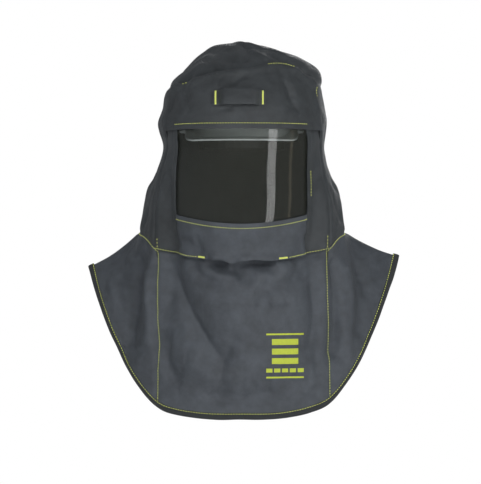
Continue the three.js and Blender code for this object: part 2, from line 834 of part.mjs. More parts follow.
// A strap over the head from one side of the headband to the other; its ends stand on the band's top edge.
// An odd count of faces leaves a flat one where the two straps cross.
function crownStrap(halfSpan, along, layer) {
  const foot = -bandDrop + bandHeight + seamGap;
  const top = strapThickness / 2 + layer * (strapThickness + seamGap);
  const places = [0.5, -0.5].map((edge) =>
    spaced(-90, 90, strapColumns).map((turn) => {
      const out = Math.sin(radians(turn));
      const up = Math.cos(radians(turn));
      const point = new THREE.Vector3(halfSpan * out, edge * strapWidth, mix(foot, top, up));
      const normal = new THREE.Vector3(out * (top - foot), 0, up * halfSpan);
      return { point, normal: normal.normalize() };
    }),
  );
  const geometry = plate(places, strapThickness);
  return along ? geometry.rotateZ(Math.PI / 2) : geometry;
}

// A hanger holds the headband to the inside of the shell.
function hanger(angle) {
  const height = -bandDrop + bandHeight - hangerSink;
  const level = levelAt(hatForm, angle, height + hangerHeight / 2, 1);
  const cornerTurn = THREE.MathUtils.radToDeg(hangerWidth / 2 / bandHalfWidth);
  const turns = [-cornerTurn, 0, cornerTurn];
  const toBand = turns.map((turn) => {
    return rounded(angle + turn, bandHalfWidth, bandHalfLength, bandCorner) * Math.cos(radians(turn));
  });
  const toWall = turns.map((turn) => {
    const wall = hatForm(angle + turn, level);
    return Math.hypot(wall.x, wall.y) * Math.cos(radians(turn));
  });
  const inner = Math.max(...toBand) + bandThickness / 2 + fitClearance;
  const outer = Math.min(...toWall) - hatThickness / 2 - hangerClearance;
  const geometry = new THREE.BoxGeometry(hangerWidth, outer - inner, hangerHeight);
  geometry.translate(0, -(outer + inner) / 2, height);
  return geometry.rotateZ(radians(angle));
}

// The carrier is a shelf from the hat's brow out to the back of the shield.
function shieldCarrier() {
  const reachAt = (surface, angle, lowest) => {
    const point = surface(angle, levelAt(surface, angle, -carrierDrop, lowest));
    return Math.hypot(point.x, point.y);
  };
  const shieldBack = beside(-shieldDepth);
  const places = spaced(0, 1, carrierRows).map((out) =>
    spaced(-carrierAngle, carrierAngle, carrierColumns).map((angle) => {
      const near = reachAt(hatForm, angle, 1) + hatThickness / 2 + curveClearance / 2;
      const far = reachAt(shieldBack, angle, 1) - shieldThickness / 2 - curveClearance;
      const reach = mix(near, far, out);
      const across = reach * Math.sin(radians(angle));
      const ahead = reach * Math.cos(radians(angle));
      return {
        point: new THREE.Vector3(across, -ahead, -carrierDrop),
        normal: new THREE.Vector3(0, 0, 1),
      };
    }),
  );
  return plate(places, carrierThickness);
}

const finish = (color, roughness) => new THREE.MeshStandardMaterial({ color, roughness, metalness: 0 });
const outerCloth = finish("#565a5f", 0.85);
const hoodCloth = finish("#42464a", 0.85);
const tape = finish("#2e3133", 0.8);
const tinted = new THREE.MeshStandardMaterial({
  color: "#5c6b4e",
  roughness: 0.08,
  metalness: 0,
  transparent: true,
  opacity: 0.4,
});
const hatPlastic = finish("#7d8788", 0.4);
const bandPlastic = finish("#17181a", 0.6);
const webbing = finish("#2a2b2d", 0.8);

const root = new THREE.Group();
function add(name, geometry, material) {
  const mesh = new THREE.Mesh(geometry, material);
  mesh.name = name;
  root.add(mesh);
}

add("crown_panel", crownPanel(), hoodCloth);
add("forehead_panel", foreheadPanel(), hoodCloth);
add("back_panel", backPanel(), hoodCloth);
add("chin_panel", chinPanel(), outerCloth);
add("bib_front", bib(), outerCloth);
add("cape_back", backCape(), outerCloth);
for (const [side, word] of [[-1, "right"], [1, "left"]]) {
  add("side_panel_" + word, sidePanel(side), hoodCloth);
  add("window_strip_" + word, windowStrip(side), hoodCloth);
  add("front_wing_" + word, frontWing(side), outerCloth);
  add("rear_wing_" + word, rearWing(side), outerCloth);
}
add("hem_binding", hemBinding(), tape);
add("lamp_loop", lampLoop(), hoodCloth);
add("face_shield", faceShield(), tinted);
add("shield_carrier", shieldCarrier(), bandPlastic);
add("hard_hat_shell", hatShell(), hatPlastic);
add("headband", headband(), bandPlastic);
add("crown_strap_across", crownStrap(bandHalfWidth, false, 1), webbing);
add("crown_strap_along", crownStrap(bandHalfLength, true, 0), webbing);
for (const turn of [hangerAngle, 180 - hangerAngle, 180 + hangerAngle, 360 - hangerAngle]) {
  const end = Math.cos(radians(turn)) > 0 ? "front" : "rear";
  const word = Math.sin(radians(turn)) > 0 ? "left" : "right";
  add("band_hanger_" + end + "_" + word, hanger(turn), bandPlastic);
}

export default root;
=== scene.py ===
"""Arc flash hood: sewn cloth panels with folds and stitching, a tinted shield and a hard hat inside."""
import functools
import itertools
import math
from collections import namedtuple

import bpy
import numpy as np
from bpy.props import FloatProperty, FloatVectorProperty, IntProperty, PointerProperty
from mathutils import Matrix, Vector
from mathutils.bvhtree import BVHTree


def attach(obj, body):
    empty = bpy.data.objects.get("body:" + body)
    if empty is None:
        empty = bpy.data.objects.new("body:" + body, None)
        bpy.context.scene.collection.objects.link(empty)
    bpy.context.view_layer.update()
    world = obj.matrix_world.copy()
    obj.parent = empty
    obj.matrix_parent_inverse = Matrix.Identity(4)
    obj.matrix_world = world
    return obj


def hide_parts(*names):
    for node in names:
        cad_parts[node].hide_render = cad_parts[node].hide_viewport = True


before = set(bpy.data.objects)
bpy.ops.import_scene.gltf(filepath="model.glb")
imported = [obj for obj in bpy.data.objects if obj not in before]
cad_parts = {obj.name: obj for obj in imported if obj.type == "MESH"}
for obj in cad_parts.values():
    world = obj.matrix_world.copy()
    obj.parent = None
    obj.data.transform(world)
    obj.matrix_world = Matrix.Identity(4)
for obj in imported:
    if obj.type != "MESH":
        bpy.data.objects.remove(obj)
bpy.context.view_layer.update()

bl_info = {
    "name": "Arc Flash Hood",
    "version": (1, 0, 0),
    "blender": (4, 5, 0),
    "location": "View3D > Sidebar > Hood",
    "description": "Builds an arc flash hood with its shield, hard hat and stitching",
    "category": "Add Mesh",
}

BODY = "root"


def length(default, description):
    return FloatProperty, {"default": default, "description": description, "unit": "LENGTH", "precision": 4}


def turn(default, description):
    return FloatProperty, {"default": default, "description": description}


def whole(default, description):
    return IntProperty, {"default": default, "description": description, "min": 1}


def colour(default, description):
    limits = {"subtype": "COLOR", "size": 3, "min": 0, "max": 1}
    return FloatVectorProperty, {"default": default, "description": description, **limits}


def with_properties(group):
    """Makes the properties of a group from its rows, each with a name for the sidebar."""
    group.__annotations__ = {
        key: made(name=key.replace("_", " ").capitalize(), **options)
        for key, (made, options) in group.__annotations__.items()
    }
    return group


@with_properties
class HoodForm(bpy.types.PropertyGroup):
    """Driving sizes of the sewn form, measured from the head seat"""

    crown_height: length(0.074, "Top of the crown above the head seat")
    neck_drop: length(0.273, "Neck seam below the head seat at the sides")
    chin_drop: length(0.325, "Neck seam below the head seat at the front")
    nape_drop: length(0.292, "Neck seam below the head seat at the back")
    hood_half_width: length(0.155, "Half of the hood's width above the neck")
    neck_half_width: length(0.189, "Half of the width at the neck seam")
    face_reach: length(0.191, "How far the window stands ahead of the head seat")
    nape_reach: length(0.151, "How far the back stands behind the head seat")
    crown_lean: length(0.017, "How far the crown leans sideways")
    shoulder_half_width: length(0.287, "Half of the cape's width")
    shoulder_drop: length(0.328, "Cape's tips below the head seat")
    shoulder_tilt: length(0.010, "How much higher one tip is than the middle")
    shoulder_dip: length(0.005, "How far the shoulder line sags")
    cape_lean: length(0.004, "How far the cape hangs sideways")
    bib_drop: length(0.609, "Front hem below the head seat")
    bib_reach: length(0.165, "Front hem ahead of the head seat")
    chest_bulge: length(0.009, "Swell of the bib")
    cape_drop: length(0.596, "Back hem below the head seat")
    cape_reach: length(0.158, "Back hem behind the head seat")
    blade_bulge: length(0.008, "Swell of the cape's back")
    binding_width: length(0.010, "Width of the tape round the hem")
    binding_thickness: length(0.0044, "Thickness of the folded tape")
    cloth_thickness: length(0.0022, "Wall of the cloth")
    fold_depth: length(0.010, "Depth of a full fold")
    fold_width: length(0.022, "Width of a full fold")
    window_half_width: length(0.1175, "Half of the opening's width")
    window_top: length(0.091, "Opening's top edge below the head seat")
    window_bottom: length(0.260, "Opening's lowest edge below the head seat")
    window_bottom_rise: length(0.017, "Rise of the bottom edge towards its ends")
    shield_thickness: length(0.002, "Wall of the shield")
    shield_lap: length(0.020, "How far the shield goes up behind the forehead")
    shield_side_lap: length(0.009, "How far the shield goes behind the strips")
    shield_clearance: length(0.0011, "Gap between the cloth and the shield")
    loop_width: length(0.027, "Height of the lamp loop's band")
    loop_length: length(0.093, "Length of the lamp loop's band")
    loop_shift: length(-0.004, "How far the loop sits off the middle")
    loop_drop: length(0.037, "Middle of the loop below the head seat")
    loop_thickness: length(0.0018, "Thickness of the loop's band")
    loop_stand_off: length(0.0075, "How far the band stands off the forehead")
    loop_tack_width: length(0.009, "Length of band that is sewn down at each end")
    hat_top: length(0.050, "Top of the hard hat above the head seat")
    hat_rim_drop: length(0.110, "Hat's rim below the head seat")
    hat_half_width: length(0.106, "Half of the hat's width")
    hat_half_length: length(0.124, "Half of the hat's length")
    hat_thickness: length(0.0026, "Wall of the hat")
    visor_reach: length(0.042, "How far the visor stands out")
    rim_reach: length(0.009, "How far the rim stands out at the sides")
    rim_lift: length(0.022, "How much higher the rim is at the sides")
    flare_start: turn(44, "Where the flare to the neck starts, in degrees from straight ahead")
    flare_full: turn(60, "Where the flare to the neck is full, in degrees from straight ahead")
    neck_rise: length(0.015, "How far the neck seam rises in front of the shoulders")
    visor_full_angle: turn(32, "How far round the visor is full, in degrees from straight ahead")
    visor_end_angle: turn(57, "Where the visor ends, in degrees from straight ahead")
    strip_angle: turn(57, "Seam beside the window, in degrees from straight ahead")
    chin_angle: turn(43, "Corner of the chin panel, in degrees from straight ahead")
    princess_hem_angle: turn(49, "Princess seam at the hem, in degrees")
    back_seam_angle: turn(128, "Back seam, in degrees from straight ahead")


@with_properties
class HoodFinish(bpy.types.PropertyGroup):
    """Fineness of the meshes, small shapes of the sewing, and colours"""

    fineness: whole(6, "Fine faces along one face of a solid")
    seam_dip: length(0.0022, "How far a seam is pulled in")
    seam_width: length(0.005, "Half width of the groove along a seam")
    hem_step: length(0.0011, "How far a turned-in edge stands proud")
    hem_width: length(0.009, "Width of a turned-in edge")
    roll_height: length(0.004, "How far the forehead's edge rolls over the side panels")
    under_dip: length(0.0035, "How far an edge is tucked under its neighbour")
    pucker_height: length(0.0009, "Height of the gathers along a seam")
    pucker_pitch: length(0.011, "Distance between the gathers")
    stitch_length: length(0.0032, "Length of a stitch")
    stitch_pitch: length(0.0048, "Distance from stitch to stitch")
    binding_lap: length(0.0018, "How far the tape is folded further over the cloth")
    thread_width: length(0.0013, "Thickness of the thread")
    tack_width: length(0.0036, "Width of a bar tack")
    flap_lift: length(0.005, "How far the chin flap stands off the bib")
    tack_left: length(-0.064, "Inner end of the bar tack at the left of a front view")
    tack_right: length(0.066, "Inner end of the bar tack at the right of a front view")
    hood_colour: colour((0.031, 0.035, 0.038), "Colour of the hood's cloth")
    cape_colour: colour((0.049, 0.0555, 0.065), "Colour of the cape's cloth")
    binding_colour: colour((0.020, 0.022, 0.023), "Colour of the tape")
    thread_colour: colour((0.72, 0.78, 0.17), "Colour of the thread")
    shield_colour: colour((0.05, 0.052, 0.042), "Tint of the shield")
    hat_colour: colour((0.78, 0.86, 0.84), "Colour of the hat")
    band_colour: colour((0.012, 0.012, 0.013), "Colour of the headband")
    print_thickness: length(0.0004, "Thickness of the printed marks")
    mark_colour: colour((0.43, 0.50, 0.035), "Colour of the printed bars")


class Table:
    """Rows with named columns, also read as smooth curves."""

    def __init__(self, columns, rows):
        self.columns = columns.split()
        self.rows = [dict(zip(self.columns, row)) for row in rows]
        self.values = dict(zip(self.columns, np.array(rows, float).T))

    def curve(self, along, wanted, at):
        x, y = self.values[along], self.values[wanted]
        last = len(x) - 1
        i = np.searchsorted(x[1:-1], at)
        before = np.maximum(np.arange(last + 1) - 1, 0)
        after = np.minimum(np.arange(last + 1) + 1, last)
        slope = (y[after] - y[before]) / (x[after] - x[before])
        span = x[i + 1] - x[i]
        t = np.clip((at - x[i]) / span, 0, 1)
        rise = y[i + 1] - y[i]
        leave, arrive = slope[i] * span, slope[i + 1] * span
        return y[i] + t * (leave + t * (3 * rise - 2 * leave - arrive + t * (leave + arrive - 2 * rise)))


# Level runs from the top of the crown, 0, to the neck seam, 1. The columns are shares of the driving sizes.
SECTIONS = Table("level fall width flare front back lean corner dip", [
    (0.0, 0.0, 0.001, 0, 0.001, 0.001, -0.5, 2.0, 0),
    (0.09, 0.015, 0.26, 0, 0.25, 0.31, -0.5, 2.0, 0),
    (0.16, 0.046, 0.46, 0, 0.4, 0.52, 0.15, 2.0, 0),
    (0.24, 0.083, 0.65, 0, 0.56, 0.7, 0.8, 2.1, 0),
    (0.3, 0.141, 0.8, 0, 0.71, 0.84, 1.0, 2.2, 0),
    (0.36, 0.204, 0.89, 0, 0.82, 0.93, 0.6, 2.2, 0),
    (0.41, 0.267, 0.925, 0, 0.9, 0.97, 0.25, 2.3, 0),
    (0.47, 0.345, 0.95, 0, 0.96, 0.99, 0.25, 2.4, 0),
    (0.54, 0.428, 0.995, 0, 0.99, 1.0, 0.1, 2.5, 0),
    (0.64, 0.555, 0.955, 0, 1.0, 0.98, 0.25, 2.5, 0.02),
    (0.75, 0.684, 0.955, 0.3, 1.0, 0.93, 0.1, 2.5, 0.1),
    (0.85, 0.81, 0.955, 0.63, 0.995, 0.87, 0.1, 2.5, 0.17),
    (0.92, 0.905, 0.955, 0.79, 0.985, 0.83, 0.1, 2.4, 0.52),
    (1.0, 1.0, 0.955, 1.0, 0.9, 0.82, 0.05, 2.3, 1.0),
])

# The hem's reach and drop, from those of the shoulder's tip to those of the middle.
HEM = Table("angle reach drop", [
    (0, 0, 1),
    (22, 0.08, 0.996),
    (39, 0.23, 0.964),
    (48.5, 0.344, 0.915),
    (59, 0.484, 0.765),
    (69.5, 0.623, 0.56),
    (80, 0.828, 0.263),
    (90, 1, 0),
])

# Where the crown is sewn on, as a share of the crown's height above the head seat.
CROWN_SEAM = Table("angle height", [
    (-180, 0.1),
    (-128, 0.02),
    (-90, -0.12),
    (-60, -0.1),
    (-40, 0.04),
    (-20, 0.22),
    (0, 0.3),
    (22, 0.42),
    (40, 0.3),
    (60, 0.0),
    (90, -0.12),
    (128, 0.02),
    (180, 0.1),
])

# Main folds of the front. Across is a share of the shoulder's half width and down one of the bib's drop.
FRONT_FOLDS = Table("across1 down1 across2 down2 across3 down3 depth width", [
    (-0.46, 0.54, -0.37, 0.66, -0.15, 0.82, -0.85, 1.05),
    (-0.49, 0.62, -0.42, 0.74, -0.25, 0.87, 0.45, 1.3),
    (0.24, 0.58, 0.02, 0.7, -0.14, 0.83, 0.6, 1.6),
    (-0.05, 0.77, -0.13, 0.84, -0.13, 0.91, -0.5, 0.7),
    (-0.5, 0.76, -0.46, 0.82, -0.42, 0.87, -0.6, 0.7),
    (-0.3, 0.55, -0.26, 0.585, -0.16, 0.6, -0.5, 0.6),
    (-0.2, 0.55, -0.06, 0.565, 0.04, 0.585, -0.7, 0.6),
    (-0.02, 0.55, 0.1, 0.55, 0.2, 0.56, -0.6, 0.5),
    (0.36, 0.56, 0.28, 0.6, 0.2, 0.625, -0.55, 0.7),
    (0.14, 0.615, 0.09, 0.645, 0.06, 0.68, -0.35, 0.6),
    (0.44, 0.62, 0.47, 0.7, 0.42, 0.8, -0.45, 0.7),
    (-0.18, 0.93, -0.05, 0.945, 0.17, 0.915, -0.5, 0.8),
    (-0.63, 0.55, -0.66, 0.66, -0.7, 0.77, -1.1, 1.1),
    (-0.59, 0.58, -0.59, 0.67, -0.57, 0.76, 0.6, 0.6),
    (-0.83, 0.59, -0.78, 0.67, -0.74, 0.72, 0.35, 1.0),
    (0.585, 0.55, 0.6, 0.68, 0.575, 0.8, -1.3, 0.6),
    (0.655, 0.56, 0.68, 0.68, 0.65, 0.8, 0.7, 0.6),
    (0.77, 0.57, 0.79, 0.66, 0.75, 0.74, -0.6, 0.8),
    (-0.42, 0.47, -0.36, 0.49, -0.28, 0.5, -0.35, 0.8),
    (0.42, 0.45, 0.4, 0.475, 0.36, 0.49, -0.4, 0.7),
    (-0.33, -0.01, -0.345, 0.02, -0.35, 0.06, -0.4, 0.5),
    (0.26, -0.005, 0.3, 0.03, 0.31, 0.08, -0.35, 0.5),
])

# Main folds at the sides, the back and the crown.
ROUND_FOLDS = Table("angle1 level1 angle2 level2 angle3 level3 depth width", [
    (-75, 0.56, -82, 0.66, -78, 0.76, -0.6, 0.9),
    (75, 0.58, 82, 0.67, 78, 0.78, -0.6, 0.9),
    (-100, 0.7, -108, 0.85, -112, 1.1, -0.8, 1.0),
    (100, 0.7, 108, 0.85, 112, 1.1, -0.8, 1.0),
    (-85, 0.82, -78, 0.92, -72, 1.02, 0.5, 0.8),
    (85, 0.82, 78, 0.92, 72, 1.02, 0.5, 0.8),
    (150, 0.75, 160, 1.0, 158, 1.5, -0.8, 1.1),
    (-150, 0.8, -158, 1.05, -160, 1.6, -0.8, 1.1),
    (178, 0.7, 176, 1.1, 182, 1.8, 0.6, 1.4),
    (132, 1.2, 136, 1.5, 138, 1.9, -0.7, 1.0),
    (-132, 1.2, -136, 1.5, -138, 1.9, -0.7, 1.0),
    (10, 0.06, 30, 0.14, 34, 0.24, 0.5, 0.5),
    (-50, 0.14, -70, 0.22, -78, 0.3, -0.4, 0.8),
    (60, 0.2, 80, 0.26, 95, 0.32, -0.5, 0.8),
    (140, 0.12, 160, 0.22, 168, 0.34, -0.4, 0.9),
])

# Narrow creases, placed where the photograph's 481 by 484 frame shows them.
CREASES = Table("px1 py1 px2 py2 px3 py3 depth width", [
    # Bib.
    (168, 258, 186, 306, 219, 357, -0.3, 0.3),
    (172, 275, 180, 318, 199, 350, 0.3, 0.5),
    (243, 262, 262, 276, 290, 262, 0.35, 0.5),
    (205, 268, 214, 276, 228, 276, 0.4, 0.4),
    (228, 262, 233, 272, 236, 282, 0.4, 0.3),
    (230, 300, 242, 320, 238, 345, 0.25, 0.9),
    (195, 366, 216, 380, 240, 378, 0.25, 0.6),
    (286, 372, 304, 382, 318, 398, -0.25, 0.4),
    (158, 343, 166, 361, 171, 373, -0.25, 0.35),
    (190, 262, 196, 274, 210, 282, -0.3, 0.35),
    (211, 262, 223, 267, 240, 273, -0.3, 0.35),
    (275, 286, 290, 279, 305, 265, -0.28, 0.3),
    (265, 281, 256, 294, 253, 306, -0.28, 0.3),
    (272, 303, 278, 302, 285, 301, -0.3, 0.35),
    (312, 286, 317, 311, 309, 343, -0.22, 0.3),
    (319, 331, 314, 350, 316, 371, -0.22, 0.3),
    (212, 398, 232, 404, 270, 393, -0.25, 0.4),
    (305, 398, 312, 393, 320, 386, -0.3, 0.4),
    (234, 340, 224, 358, 220, 378, -0.22, 0.3),
    # Left wing.
    (153, 264, 153, 300, 152, 340, -0.3, 0.3),
    (149, 262, 148, 282, 148, 303, 0.35, 0.35),
    (111, 283, 114, 295, 118, 306, 0.2, 0.4),
    (139, 258, 135, 300, 129, 340, -0.4, 0.5),
    (125, 262, 119, 290, 121, 322, -0.2, 0.5),
    # Right wing.
    (345, 291, 349, 323, 343, 358, -0.3, 0.35),
    (353, 261, 362, 276, 367, 291, -0.25, 0.4),
    (333, 263, 338, 300, 337, 345, -0.3, 0.35),
    (372, 262, 376, 280, 374, 300, -0.2, 0.5),
    # Crown and forehead.
    (252, 51, 258, 55, 266, 59, 0.4, 0.3),
    (243, 45, 247, 50, 246, 60, -0.35, 0.3),
    (214, 52, 224, 60, 240, 62, -0.35, 0.7),
    (196, 68, 206, 62, 214, 66, 0.25, 0.5),
    (262, 66, 276, 74, 296, 88, 0.16, 0.5),
    (292, 62, 303, 68, 311, 80, -0.35, 0.35),
    (252, 47, 266, 51, 284, 58, -0.3, 0.3),
    (188, 92, 187, 104, 190, 118, -0.2, 0.35),
    (274, 57, 284, 62, 300, 64, -0.4, 0.4),
    (205, 58, 212, 64, 215, 72, -0.22, 0.3),
    (228, 50, 232, 59, 231, 68, -0.25, 0.4),
    (298, 78, 304, 70, 312, 66, -0.3, 0.4),
    (216, 73, 216, 80, 217, 86, 0.2, 0.25),
    (233, 83, 238, 79, 243, 76, -0.3, 0.3),
    (285, 83, 289, 88, 293, 94, -0.3, 0.3),
    (290, 94, 294, 102, 298, 111, -0.3, 0.3),
    (182, 81, 181, 87, 184, 94, -0.3, 0.3),
    (216, 113, 223, 110, 230, 108, -0.25, 0.25),
    # Sides and chin.
    (153, 191, 149, 206, 146, 221, -0.3, 0.4),
    (331, 191, 335, 206, 340, 221, -0.3, 0.4),
    (185, 243, 192, 248, 200, 253, -0.25, 0.4),
    (305, 233, 309, 229, 312, 226, -0.3, 0.35),
    (197, 232, 196, 240, 199, 247, -0.2, 0.3),
])

# The hat's wall from its top to its foot.
HAT = Table("level fall reach", [
    (0, 0, 0.001),
    (0.12, 0.02, 0.27),
    (0.25, 0.09, 0.5),
    (0.4, 0.22, 0.7),
    (0.6, 0.46, 0.88),
    (0.8, 0.74, 0.97),
    (1, 1, 1),
])

# Plain printed bars on the chest, in metres; count is the number of blocks in a bar.
CHEST_BARS = Table("left right top foot count", [
    (0.0440, 0.1110, -0.4550, -0.4580, 1),
    (0.0540, 0.1010, -0.4650, -0.4755, 1),
    (0.0540, 0.1010, -0.4820, -0.4925, 1),
    (0.0540, 0.1010, -0.4990, -0.5095, 1),
    (0.0440, 0.1110, -0.5175, -0.5245, 5),
    (0.0440, 0.1110, -0.5320, -0.5350, 1),
])
BLOCK_GAP = 0.22  # between the blocks of a bar, as a share of their pitch
PRINT_GRID = 0.0008
PRINT_STAND_OFF = 0.6  # of the print's thickness

# The photograph's frame: its size in pixels, the pixel of the head seat and the scale at the head seat.
FRAME_WIDTH, FRAME_HEIGHT = 481, 484
SEAT_PIXEL = (241.5, 84)
METRES_PER_PIXEL = 0.00185
CAMERA_DISTANCE = 4.5
SENSOR = 36
CAMERA_PLACE = Vector(
    (
        (FRAME_WIDTH / 2 - SEAT_PIXEL[0]) * METRES_PER_PIXEL,
        -CAMERA_DISTANCE,
        (SEAT_PIXEL[1] - FRAME_HEIGHT / 2) * METRES_PER_PIXEL,
    )
)

# The stage: where the lights point, and each light's name, place, width, height, power and tint.
LIGHT_TARGET = (0, 0, -0.3)
LIGHTS = [
    ("upper_softbox", (-0.3, -3.0, 1.3), 3.2, 0.8, 36, (1, 1, 1)),
    ("lower_softbox", (-0.7, -3.0, -1.8), 3.4, 0.9, 74, (1, 1, 1)),
    ("low_key", (2.0, -2.2, -1.8), 1.2, 1.0, 16, (1, 1, 1)),
    ("right_strip", (1.0, -1.7, -0.2), 0.45, 1.0, 11.5, (1, 1, 1)),
    ("side_strip", (2.0, -0.85, -0.2), 0.22, 1.0, 1.0, (1, 0.86, 0.62)),
    ("back_fill", (0.5, 3.3, 0.7), 1.6, 1.6, 55, (1, 1, 1)),
]
FLOOR_HEIGHT, FLOOR_HALF = -1.7, 5.5

# A stitch from end to end, in shares of half its length and of its thickness.
THREAD = Table("along size height", [
    (-1, 0.35, -0.35),
    (-0.72, 0.85, 0.25),
    (0, 1, 0.45),
    (0.72, 0.85, 0.25),
    (1, 0.35, -0.35),
])
THREAD_SIDES = 6
TACK_PITCH = 0.75  # in thread widths
CHIN_INSET = 0.0035
TACK_ENDS = (-0.079, 0.083)
HEM_STITCH_INSET, HEM_STITCH_SINK = 0.0014, 0.0003
EVERYWHERE = (0, -1, 1)

# The rows of stitches in each piece: the panel and its side, the edge and the inset from it, and the stretch that
# is kept, as an axis and its two ends.
STITCH_ROWS = {
    "window_stitching": [
        (("forehead_panel", 1), ("bottom", 0.0095), (0, -0.121, 0.119)),
        (("chin_panel", 1), ("top", 0.0078), EVERYWHERE),
    ],
    "chin_stitching": [
        (("chin_panel", 1), ("bottom", CHIN_INSET), (0, -1, TACK_ENDS[0])),
        (("chin_panel", 1), ("bottom", CHIN_INSET), (0, TACK_ENDS[1], 1)),
        (("window_strip", -1), ("bottom", 0.0035), EVERYWHERE),
        (("window_strip", 1), ("bottom", 0.0035), EVERYWHERE),
        (("window_strip", 1), ("right", 0.0065), (2, -0.304, -0.276)),
        (("window_strip", -1), ("left", 0.0065), (2, -0.304, -0.280)),
        (("window_strip", 1), ("left", 0.0105), (2, -0.215, -0.163)),
    ],
    "princess_stitching": [
        (("bib_front", 1), ("left", 0.003), EVERYWHERE),
        (("bib_front", 1), ("right", 0.003), EVERYWHERE),
        (("front_wing", -1), ("top", 0.003), EVERYWHERE),
        (("front_wing", 1), ("top", 0.003), EVERYWHERE),
    ],
    "crown_stitching": [
        (("forehead_panel", 1), ("top", 0.009), (0, 0.047, 0.098)),
        (("forehead_panel", 1), ("top", 0.009), (0, -0.108, -0.097)),
        (("forehead_panel", 1), ("right", 0.007), (2, -0.030, -0.008)),
    ],
}

# Fine shapes of the binding, the lamp loop, the shield and the hat.
BINDING_STEPS, BINDING_SIDES = 120, 16
BINDING_SLACK = (0.0003, 0.0002)
LOOP_GRID = (73, 19)
LOOP_TACK_COLUMNS = (4, -5)
LOOP_CLEARANCE, LOOP_EDGE_DIP, LOOP_UNEVEN = 0.0008, 0.0009, 0.0006
SHIELD_GRID = (41, 97)
HAT_GRID = (61, 145)
TWILL_PITCH, RIB_PITCH = 0.0011, 0.0016
ROUND_SHARP = 80  # degrees between faces that stay smooth on thin round things

# Faces of the solids along each panel; the fine meshes have a multiple of them.
CHIN_COLUMNS = 16
STRIP_COLUMNS = 3
SHOULDER_COLUMNS = 8
BACK_COLUMNS = 10
CROWN_ROWS = 8
FOREHEAD_ROWS = 6
WINDOW_ROWS = 6
CHIN_ROWS = 3
CAPE_ROWS = 12
PRINCESS_TURN = 0.6
NECK_RISE_BEND = 0.65
SINK_BEND = 1.3
BRIM_SLOPE = 0.16
HAT_CORNER = 2.2
BRIM_LEVELS = 0.2
SMALLEST_REACH = 1e-6
TINY = 1e-12
DONE = {"FINISHED"}

# Factors that scatter the numbers of the noise's corners.
SCATTER = (7919, 104729, 1000003)
SEED_STEP = 101
HASH_TURN, HASH_GAIN = 12.9898, 43758.5453


def mix(a, b, share):
    return a + (b - a) * share


def smoothstep(value, low, high):
    t = np.clip((value - low) / (high - low), 0, 1)
    return t * t * (3 - 2 * t)


def bell(distance, width):
    """A smooth bump that is 1 in the middle and 1/e at its width."""
    return np.exp(-((distance / width) ** 2))


def rounded(sideways, ahead, half_width, depth, corner):
    """The reach of a rounded section; corner is 2 for an ellipse and more for a squarer one."""
    return ((np.abs(sideways) / half_width) ** corner + (np.abs(ahead) / depth) ** corner) ** (-1 / corner)


def falls_to(measure, low, high, target, steps=24):
    """The value between low and high where a falling measure reaches the target, for each target."""
    low, high = np.full(np.shape(target), float(low)), np.full(np.shape(target), float(high))
    for _ in range(steps):
        middle = (low + high) / 2
        above = measure(middle) > target
        low, high = np.where(above, middle, low), np.where(above, high, middle)
    return (low + high) / 2


def unit(vectors):
    return vectors / np.maximum(np.linalg.norm(vectors, axis=-1, keepdims=True), TINY)


def square_to(axis, vectors):
    """Unit vectors without their part along an axis."""
    return unit(vectors - (vectors * axis).sum(-1, keepdims=True) * axis)


def sampled(at, along, fields):
    """The values of each column of fields at places along a line."""
    return np.stack([np.interp(at, along, column) for column in fields.T], -1)


def noise(points, seed=0):
    """Smooth random heights from -1 to 1 that change over about one unit."""
    base = np.floor(points).astype(np.int64)
    t = points - base
    t = t * t * (3 - 2 * t)
    total = np.zeros(points.shape[:-1])
    for corner in itertools.product((0, 1), repeat=points.shape[-1]):
        code = np.full(points.shape[:-1], seed * SEED_STEP + 7, np.int64)
        for axis, step in enumerate(corner):
            code = (code * SCATTER[0] + (base[..., axis] + step) * SCATTER[1]) % SCATTER[2]
        height = np.sin(code * HASH_TURN) * HASH_GAIN
        weight = np.prod(np.where(corner, t, 1 - t), axis=-1)
        total += weight * (2 * (height - np.floor(height)) - 1)
    return total


def noise_along(run, size, seed):
    """Smooth random heights along a line."""
    return noise(np.stack([run / size, run * 0], -1), seed)


